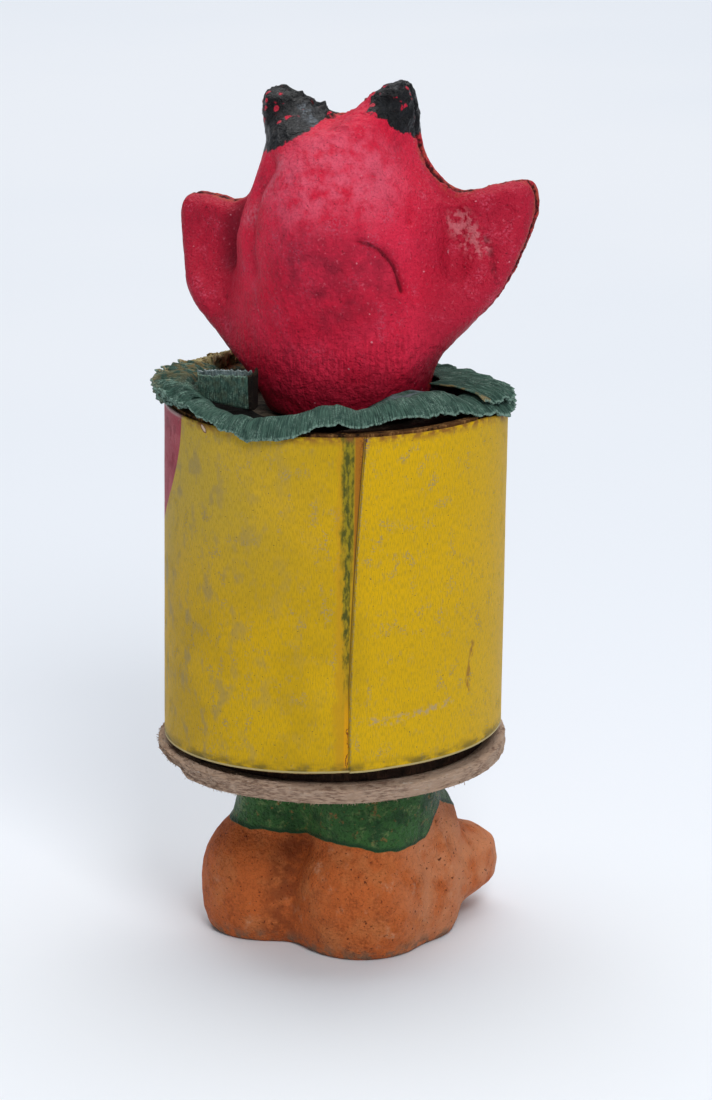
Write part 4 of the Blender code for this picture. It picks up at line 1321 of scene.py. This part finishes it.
def crepe_paper(name, base, light, dark, faded, straw, glued=False):
    """Crepe in five colours. If its trough is lit and shaded, a shadow is painted near black there, and a
    grey sheen where it lies flat.
    """
    material = new_finish(name, 0.92)
    strip = mark("strip_share")
    along = mark("strip_along")
    khaki = mark("khaki")
    across = strip * (12 * MM)
    unrolled = node("ShaderNodeCombineXYZ", {0: along, 1: across, 2: 0.0})
    lines = cloud(0.16, 0.42, 0.6, stretch=(1, 16, 1), detail=3, place=unrolled)
    blotch = cloud(2.6, 0.42, 0.64, detail=5)
    fuzz = cloud(0.25, 0.42, 0.6, detail=3)
    patches = cloud(1.3, 0.44, 0.6, detail=5, shift=3)
    colour = paint(
        base,
        (light, blotch * fuzz * 0.8),
        # Dark lines between the ridges are painted shade.
        (dark, lines * 0.75),
        (dark, cloud(1.5, 0.56, 0.7, detail=5, shift=5) * 0.8),
        (faded, khaki * patches),
        (straw, khaki * ramp(strip, 0.86, 0.98) * fuzz),
        (light, ramp(strip, 0.955, 0.99) * cloud(0.45, 0.36, 0.52)),
    )
    if glued:
        inside = ramp(strip, 0.56, 0.4)
        # A grey sheen is painted where the sheet lies flat in the trough.
        bleached = inside * ramp(mark("turn"), 16, 30) * cloud(1.8, 0.36, 0.6, detail=6)
        # The trough's shadow under the head is painted near black.
        soiled = inside * ramp(mark("turn"), 26, 12)
        colour = paint(colour, ("#7C8A90", bleached * 0.8), ("#141613", soiled))
    wire("Base Color", colour)
    raise_surface([(lines, 0.05 * MM), (fuzz, 0.03 * MM)])
    return material


GREEN = ("#4C6B5E", "#84A193", "#28403A", "#8C7C55", "#CBB992")
green_crepe = crepe_paper("dark_green_crepe_paper", *GREEN)
glued_crepe = crepe_paper("green_crepe_with_dirty_trough", *GREEN, glued=True)
khaki_crepe = crepe_paper("faded_khaki_crepe_paper", "#D6C78E", "#FFF6D4", "#6E603C", "#8C7C55", "#CBB98C")
pale_crepe = crepe_paper("crepe_worn_smooth_and_pale", "#8B9EA0", "#B3C2C3", "#55686A", "#8C7C55", "#CBB98C")
# The box's open end is painted near black, as the shade inside it.
brown_crepe = crepe_paper("glue_stained_brown_crepe", "#1D1613", "#43382C", "#0B0807", "#4A3A28", "#6B5A40")
for piece in (box_front, upper, tip):
    finish(piece, green_crepe)
finish(box_back, pale_crepe)
finish(box_end, brown_crepe)
finish(ruffle, glued_crepe, "collar")

CRIMP_ROUTES = {
    "crimp_outer": [
        (-104, 24.2, 82.5), (-111, 24.0, 82.5), (-118, 24.0, 82.5), (-126, 24.0, 82.5), (-132, 24.0, 82.5),
    ],
    "crimp_middle": [
        (-112, 22.6, 82.9), (-120, 22.4, 83.0), (-129, 22.4, 83.0), (-136, 22.4, 83.1), (-142, 22.4, 83.0),
    ],
    "crimp_inner": [
        (-118, 21.0, 83.4), (-126, 20.8, 83.5), (-133, 20.8, 83.6), (-140, 20.8, 83.6), (-150, 20.8, 83.5),
    ],
}
for name, route in CRIMP_ROUTES.items():
    crimp = crimped_edge(name, route, khaki_crepe)
    crimp.data.shade_smooth()
    finish(crimp, khaki_crepe)

# %% [markdown]
# The ruffle is cut from one long strip. Its width is the run across the folds, and gathering takes up
# the rest of its length.

# %% [markdown]
# ## The chipboard plug disc
#
# The disc is three plies of grey-brown chipboard cut by hand. Its edge shows the plies, and at the
# left the lower ones have split off. A ring of cross-sections gives that: each point of the edge is
# pushed in or out by noise that is stretched along the ply.

# %% Disc mesh
DISC_RADIUS = 25.9 * MM
DISC_THICKNESS = 2.1 * MM
DISC_WARP = 0.7 * MM
PEEL_HEIGHT = 0.9 * MM
DISC_AROUND = 900
LOST_FROM = -95
LOST_TO = -54
LOST_FADE = 7
disc_bottom = disc_top - DISC_THICKNESS


def lost_layers(turn):
    return smooth_step(turn, LOST_FROM, LOST_FROM + LOST_FADE) * (
        1 - smooth_step(turn, LOST_TO - LOST_FADE, LOST_TO)
    )


def make_disc():
    levels = np.concatenate([[0.0], np.linspace(0.04, 0.96, 15), [1.0]])
    angle = np.linspace(0, math.tau, DISC_AROUND, endpoint=False)
    turn = (np.degrees(angle - BACK_SIDE) + 180) % 360 - 180
    edge = DISC_RADIUS * (1 + 0.004 * np.sin(3 * angle + 1) + 0.003 * np.sin(7 * angle))
    warp = DISC_WARP * np.maximum(0, np.cos(angle - HEAD_LEAN_SIDE)) ** 2
    lost = 0.5 * DISC_THICKNESS * lost_layers(turn)
    torn = np.array(
        [noise.fractal(Vector((14 * math.cos(a), 14 * math.sin(a), 1.5)), 0.9, 2.1, 4) for a in angle]
    )
    peel = PEEL_HEIGHT * smooth_step(turn, -68, -56) * (1 - smooth_step(turn, -20, -6)) * (1 + 0.35 * torn)
    rings = []
    for radius_share in (0.3, 0.7, 0.86, 0.93):
        rings.append((edge * radius_share, disc_bottom + smooth_step(radius_share, 0.86, 0.95) * lost))
    for i, level in enumerate(levels):
        low = disc_bottom + lost + warp
        high = disc_top + warp
        up = low + (high - low) * level
        corner = 0.022 if level in (0.0, 1.0) else 0.0
        spots = [Vector((9 * math.cos(a), 9 * math.sin(a), 5.2 * level + 3)) for a in angle]
        ply = np.array([noise.fractal(spot, 0.8, 2.1, 5) for spot in spots])
        step = 0.05 * math.sin(level * 19) * MM
        rings.append((edge * (1 - corner) - 0.15 * MM + 0.2 * MM * ply + step, up + 0.04 * MM * ply))
    for radius_share in (0.95, 0.93, 0.86, 0.7, 0.3):
        raised = smooth_step(radius_share, 0.86, 1.0) * warp + smooth_step(radius_share, 0.92, 0.985) * peel
        rings.append((edge * radius_share, disc_top + raised))
    places = np.concatenate([np.stack([r * np.cos(angle), r * np.sin(angle), z], axis=1) for r, z in rings])
    count = DISC_AROUND
    faces = [tuple(range(count))[::-1]]
    for i in range(len(rings) - 1):
        for k in range(count):
            n = (k + 1) % count
            faces.append((i * count + k, i * count + n, (i + 1) * count + n, (i + 1) * count + k))
    faces.append(tuple(((len(rings) - 1) * count + k for k in range(count))))
    mesh = bpy.data.meshes.new("plug_disc")
    mesh.from_pydata(places.tolist(), [], faces)
    mesh.shade_smooth()
    mesh.set_sharp_from_angle(angle=math.radians(40))
    return add_piece("plug_disc", mesh)


disc = make_disc()


def chipboard():
    material = new_finish("grey_brown_chipboard", 0.95)
    plies = cloud(0.16, 0.42, 0.64, stretch=(7, 7, 1), detail=5)
    fibre = cloud(0.22, 0.42, 0.6, stretch=(2, 2, 1), detail=5, shift=2)
    some_places = cloud(5, 0.42, 0.58, detail=3, shift=5)
    colour = paint(
        "#BCA08A",
        ("#BFA895", cloud(3, 0.4, 0.62, detail=4) * fibre * 0.8),
        ("#75594A", plies * some_places * 0.75),
        ("#C9B8A8", cloud(0.3, 0.64, 0.7, stretch=(6, 6, 1), detail=4, shift=7) * 0.8),
        ("#5E4636", cloud(0.35, 0.64, 0.72, stretch=(3, 3, 1), detail=4, shift=1) * 0.8),
    )
    wire("Base Color", colour)
    raise_surface([(plies, 0.06 * MM), (fibre, 0.05 * MM)])
    return material


board = chipboard()
finish(disc, board, "base_disc")

# %% [markdown]
# ### Torn fibres
#
# Where the board has split, paper fibres stand out. Fibres are scattered over a surface, so Geometry
# Nodes make them too: points on the split part of the edge, a short bent thread on each.

# %% Fibres on the disc's edge


def torn_fibres(name, host, material, density, length, thickness, seed, is_frayed):
    """Threads scattered over those faces of a piece that are frayed."""
    sizes = {"Density": density, "Length": length, "Thickness": thickness}
    tree, size = new_tree(name + "_tree", sizes)
    scatter = node(
        "GeometryNodeDistributePointsOnFaces",
        {"Mesh": size["Geometry"], "Density": size["Density"], "Seed": seed},
    )
    thread = node(
        "GeometryNodeCurvePrimitiveBezierSegment",
        {
            "Resolution": 4, "Start": (0.0, 0.0, 0.0), "Start Handle": (0.0, 0.1, 0.4),
            "End Handle": (0.25, 0.3, 0.6), "End": (0.5, 0.1, 0.8),
        },
    )
    turned = node(
        "FunctionNodeRandomValue", {0: (-0.9, -0.9, 0.0), 1: (0.9, 0.9, math.tau), "Seed": seed + 1},
        data_type="FLOAT_VECTOR",
    )
    facing = node(
        "FunctionNodeRotateRotation", {0: scatter.out("Rotation"), 1: turned}, rotation_space="LOCAL",
    )
    reach = node("FunctionNodeRandomValue", {2: 0.4, 3: 1.0, "Seed": seed + 2}, out=1, data_type="FLOAT")
    scale = reach * size["Length"]
    threads = node(
        "GeometryNodeInstanceOnPoints",
        {"Points": scatter.out("Points"), "Instance": thread, "Rotation": facing, "Scale": scale},
    )
    real = node("GeometryNodeRealizeInstances", {0: threads})
    round_profile = node(
        "GeometryNodeCurvePrimitiveCircle", {"Resolution": 3, "Radius": size["Thickness"]}, mode="RADIUS",
    )
    tubes = node(
        "GeometryNodeCurveToMesh", {"Curve": real, "Profile Curve": round_profile, "Fill Caps": True},
    )
    close_tree(tubes, material)
    mesh = host.data.copy()
    shape = bmesh.new()
    shape.from_mesh(mesh)
    gone = [face for face in shape.faces if not is_frayed(face)]
    bmesh.ops.delete(shape, geom=gone, context="FACES")
    shape.to_mesh(mesh)
    shape.free()
    return grow(name, tree, sizes, mesh=mesh)


def at_split_edge(face):
    middle = face.calc_center_median()
    turn = (math.degrees(math.atan2(middle.y, middle.x) - BACK_SIDE) + 180) % 360 - 180
    on_edge = math.hypot(middle.x, middle.y) > 0.95 * DISC_RADIUS
    at_split = -100 < turn < 60 and (turn < -20 or middle.z < disc_bottom + 0.5 * MM)
    return on_edge and at_split


fibres = torn_fibres(
    "disc_fibres", disc, board, density=3.0e6, length=0.55 * MM, thickness=0.03 * MM, seed=3,
    is_frayed=at_split_edge,
)
finish(fibres, board)

# %% [markdown]
# ## Card, sleeve and top disc
#
# These three keep their solids: only their edges show, so a good material is enough. Rolled card
# shows its layers as rings at a cut end, which is noise squeezed along the radius.

# %% Card finishes


def rolled_card(name, base, light, dark):
    material = new_finish(name, 0.9)
    plies = cloud(0.4, 0.4, 0.6, stretch=(1, 1, 5), detail=4)
    colour = paint(
        base,
        (light, plies * cloud(2.5, 0.42, 0.62, detail=5)),
        (dark, cloud(1.4, 0.5, 0.66, detail=5, shift=4)),
    )
    wire("Base Color", colour)
    raise_surface([(plies, 0.08 * MM)])
    return material


CARDS = {
    "tube": rolled_card("brown_rolled_card", "#6A4526", "#A87A48", "#2C1A10"),
    "plug_sleeve": rolled_card("dark_brown_card_sleeve", "#2E1F18", "#4A3426", "#1A110C"),
    "top_disc": rolled_card("grey_card_disc", "#4E4438", "#6E6354", "#2A231C"),
}
for label, material in CARDS.items():
    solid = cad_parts[label]
    solid.data.materials.clear()
    solid.data.materials.append(material)

# %% [markdown]
# ## The studio
#
# A pale floor runs far back, lit by a wide soft box high on the far side, a small one beside the
# camera and a pale sky. The standard view transform keeps the paint's colours as they were written.

# %% Floor and light
FLOOR_SIZE = 6.0

floor_mesh = bpy.data.meshes.new("floor")
half = FLOOR_SIZE / 2
floor_mesh.from_pydata(
    [(-half, -half, 0), (half, -half, 0), (half, half, 0), (-half, half, 0)], [], [(0, 1, 2, 3)],
)
floor = add_piece("floor", floor_mesh)
pale = new_finish("pale_studio_paper", 0.8)
wire("Base Color", paint("#EEF2F8", ("#EBF0F7", cloud(400, 0.4, 0.6))))
floor.data.materials.append(pale)

world = bpy.data.worlds.new("studio")
bpy.context.scene.world = world
world.use_nodes = True
sky = world.node_tree.nodes["Background"]
sky.inputs["Color"].default_value = linear("#E9EEF6")
sky.inputs["Strength"].default_value = 0.22


def soft_box(name, azimuth, elevation, distance, size, power):
    """An area light that looks at the object from a direction."""
    turn = math.radians(azimuth)
    rise = math.radians(elevation)
    way = Vector((math.sin(turn) * math.cos(rise), -math.cos(turn) * math.cos(rise), math.sin(rise)))
    lamp = bpy.data.lights.new(name, "AREA")
    lamp.shape = "SQUARE"
    lamp.size = size
    lamp.energy = power
    light = bpy.data.objects.new(name, lamp)
    light.location = Vector((0, 0, LOOK_UP)) + way * distance
    light.rotation_euler = (-way).to_track_quat("-Z", "Y").to_euler()
    bpy.context.scene.collection.objects.link(light)


soft_box("overhead", azimuth=20, elevation=64, distance=1.9, size=2.4, power=38.0)
soft_box("key", azimuth=216, elevation=42, distance=0.7, size=0.25, power=2.3)
bpy.context.scene.view_settings.view_transform = "Standard"
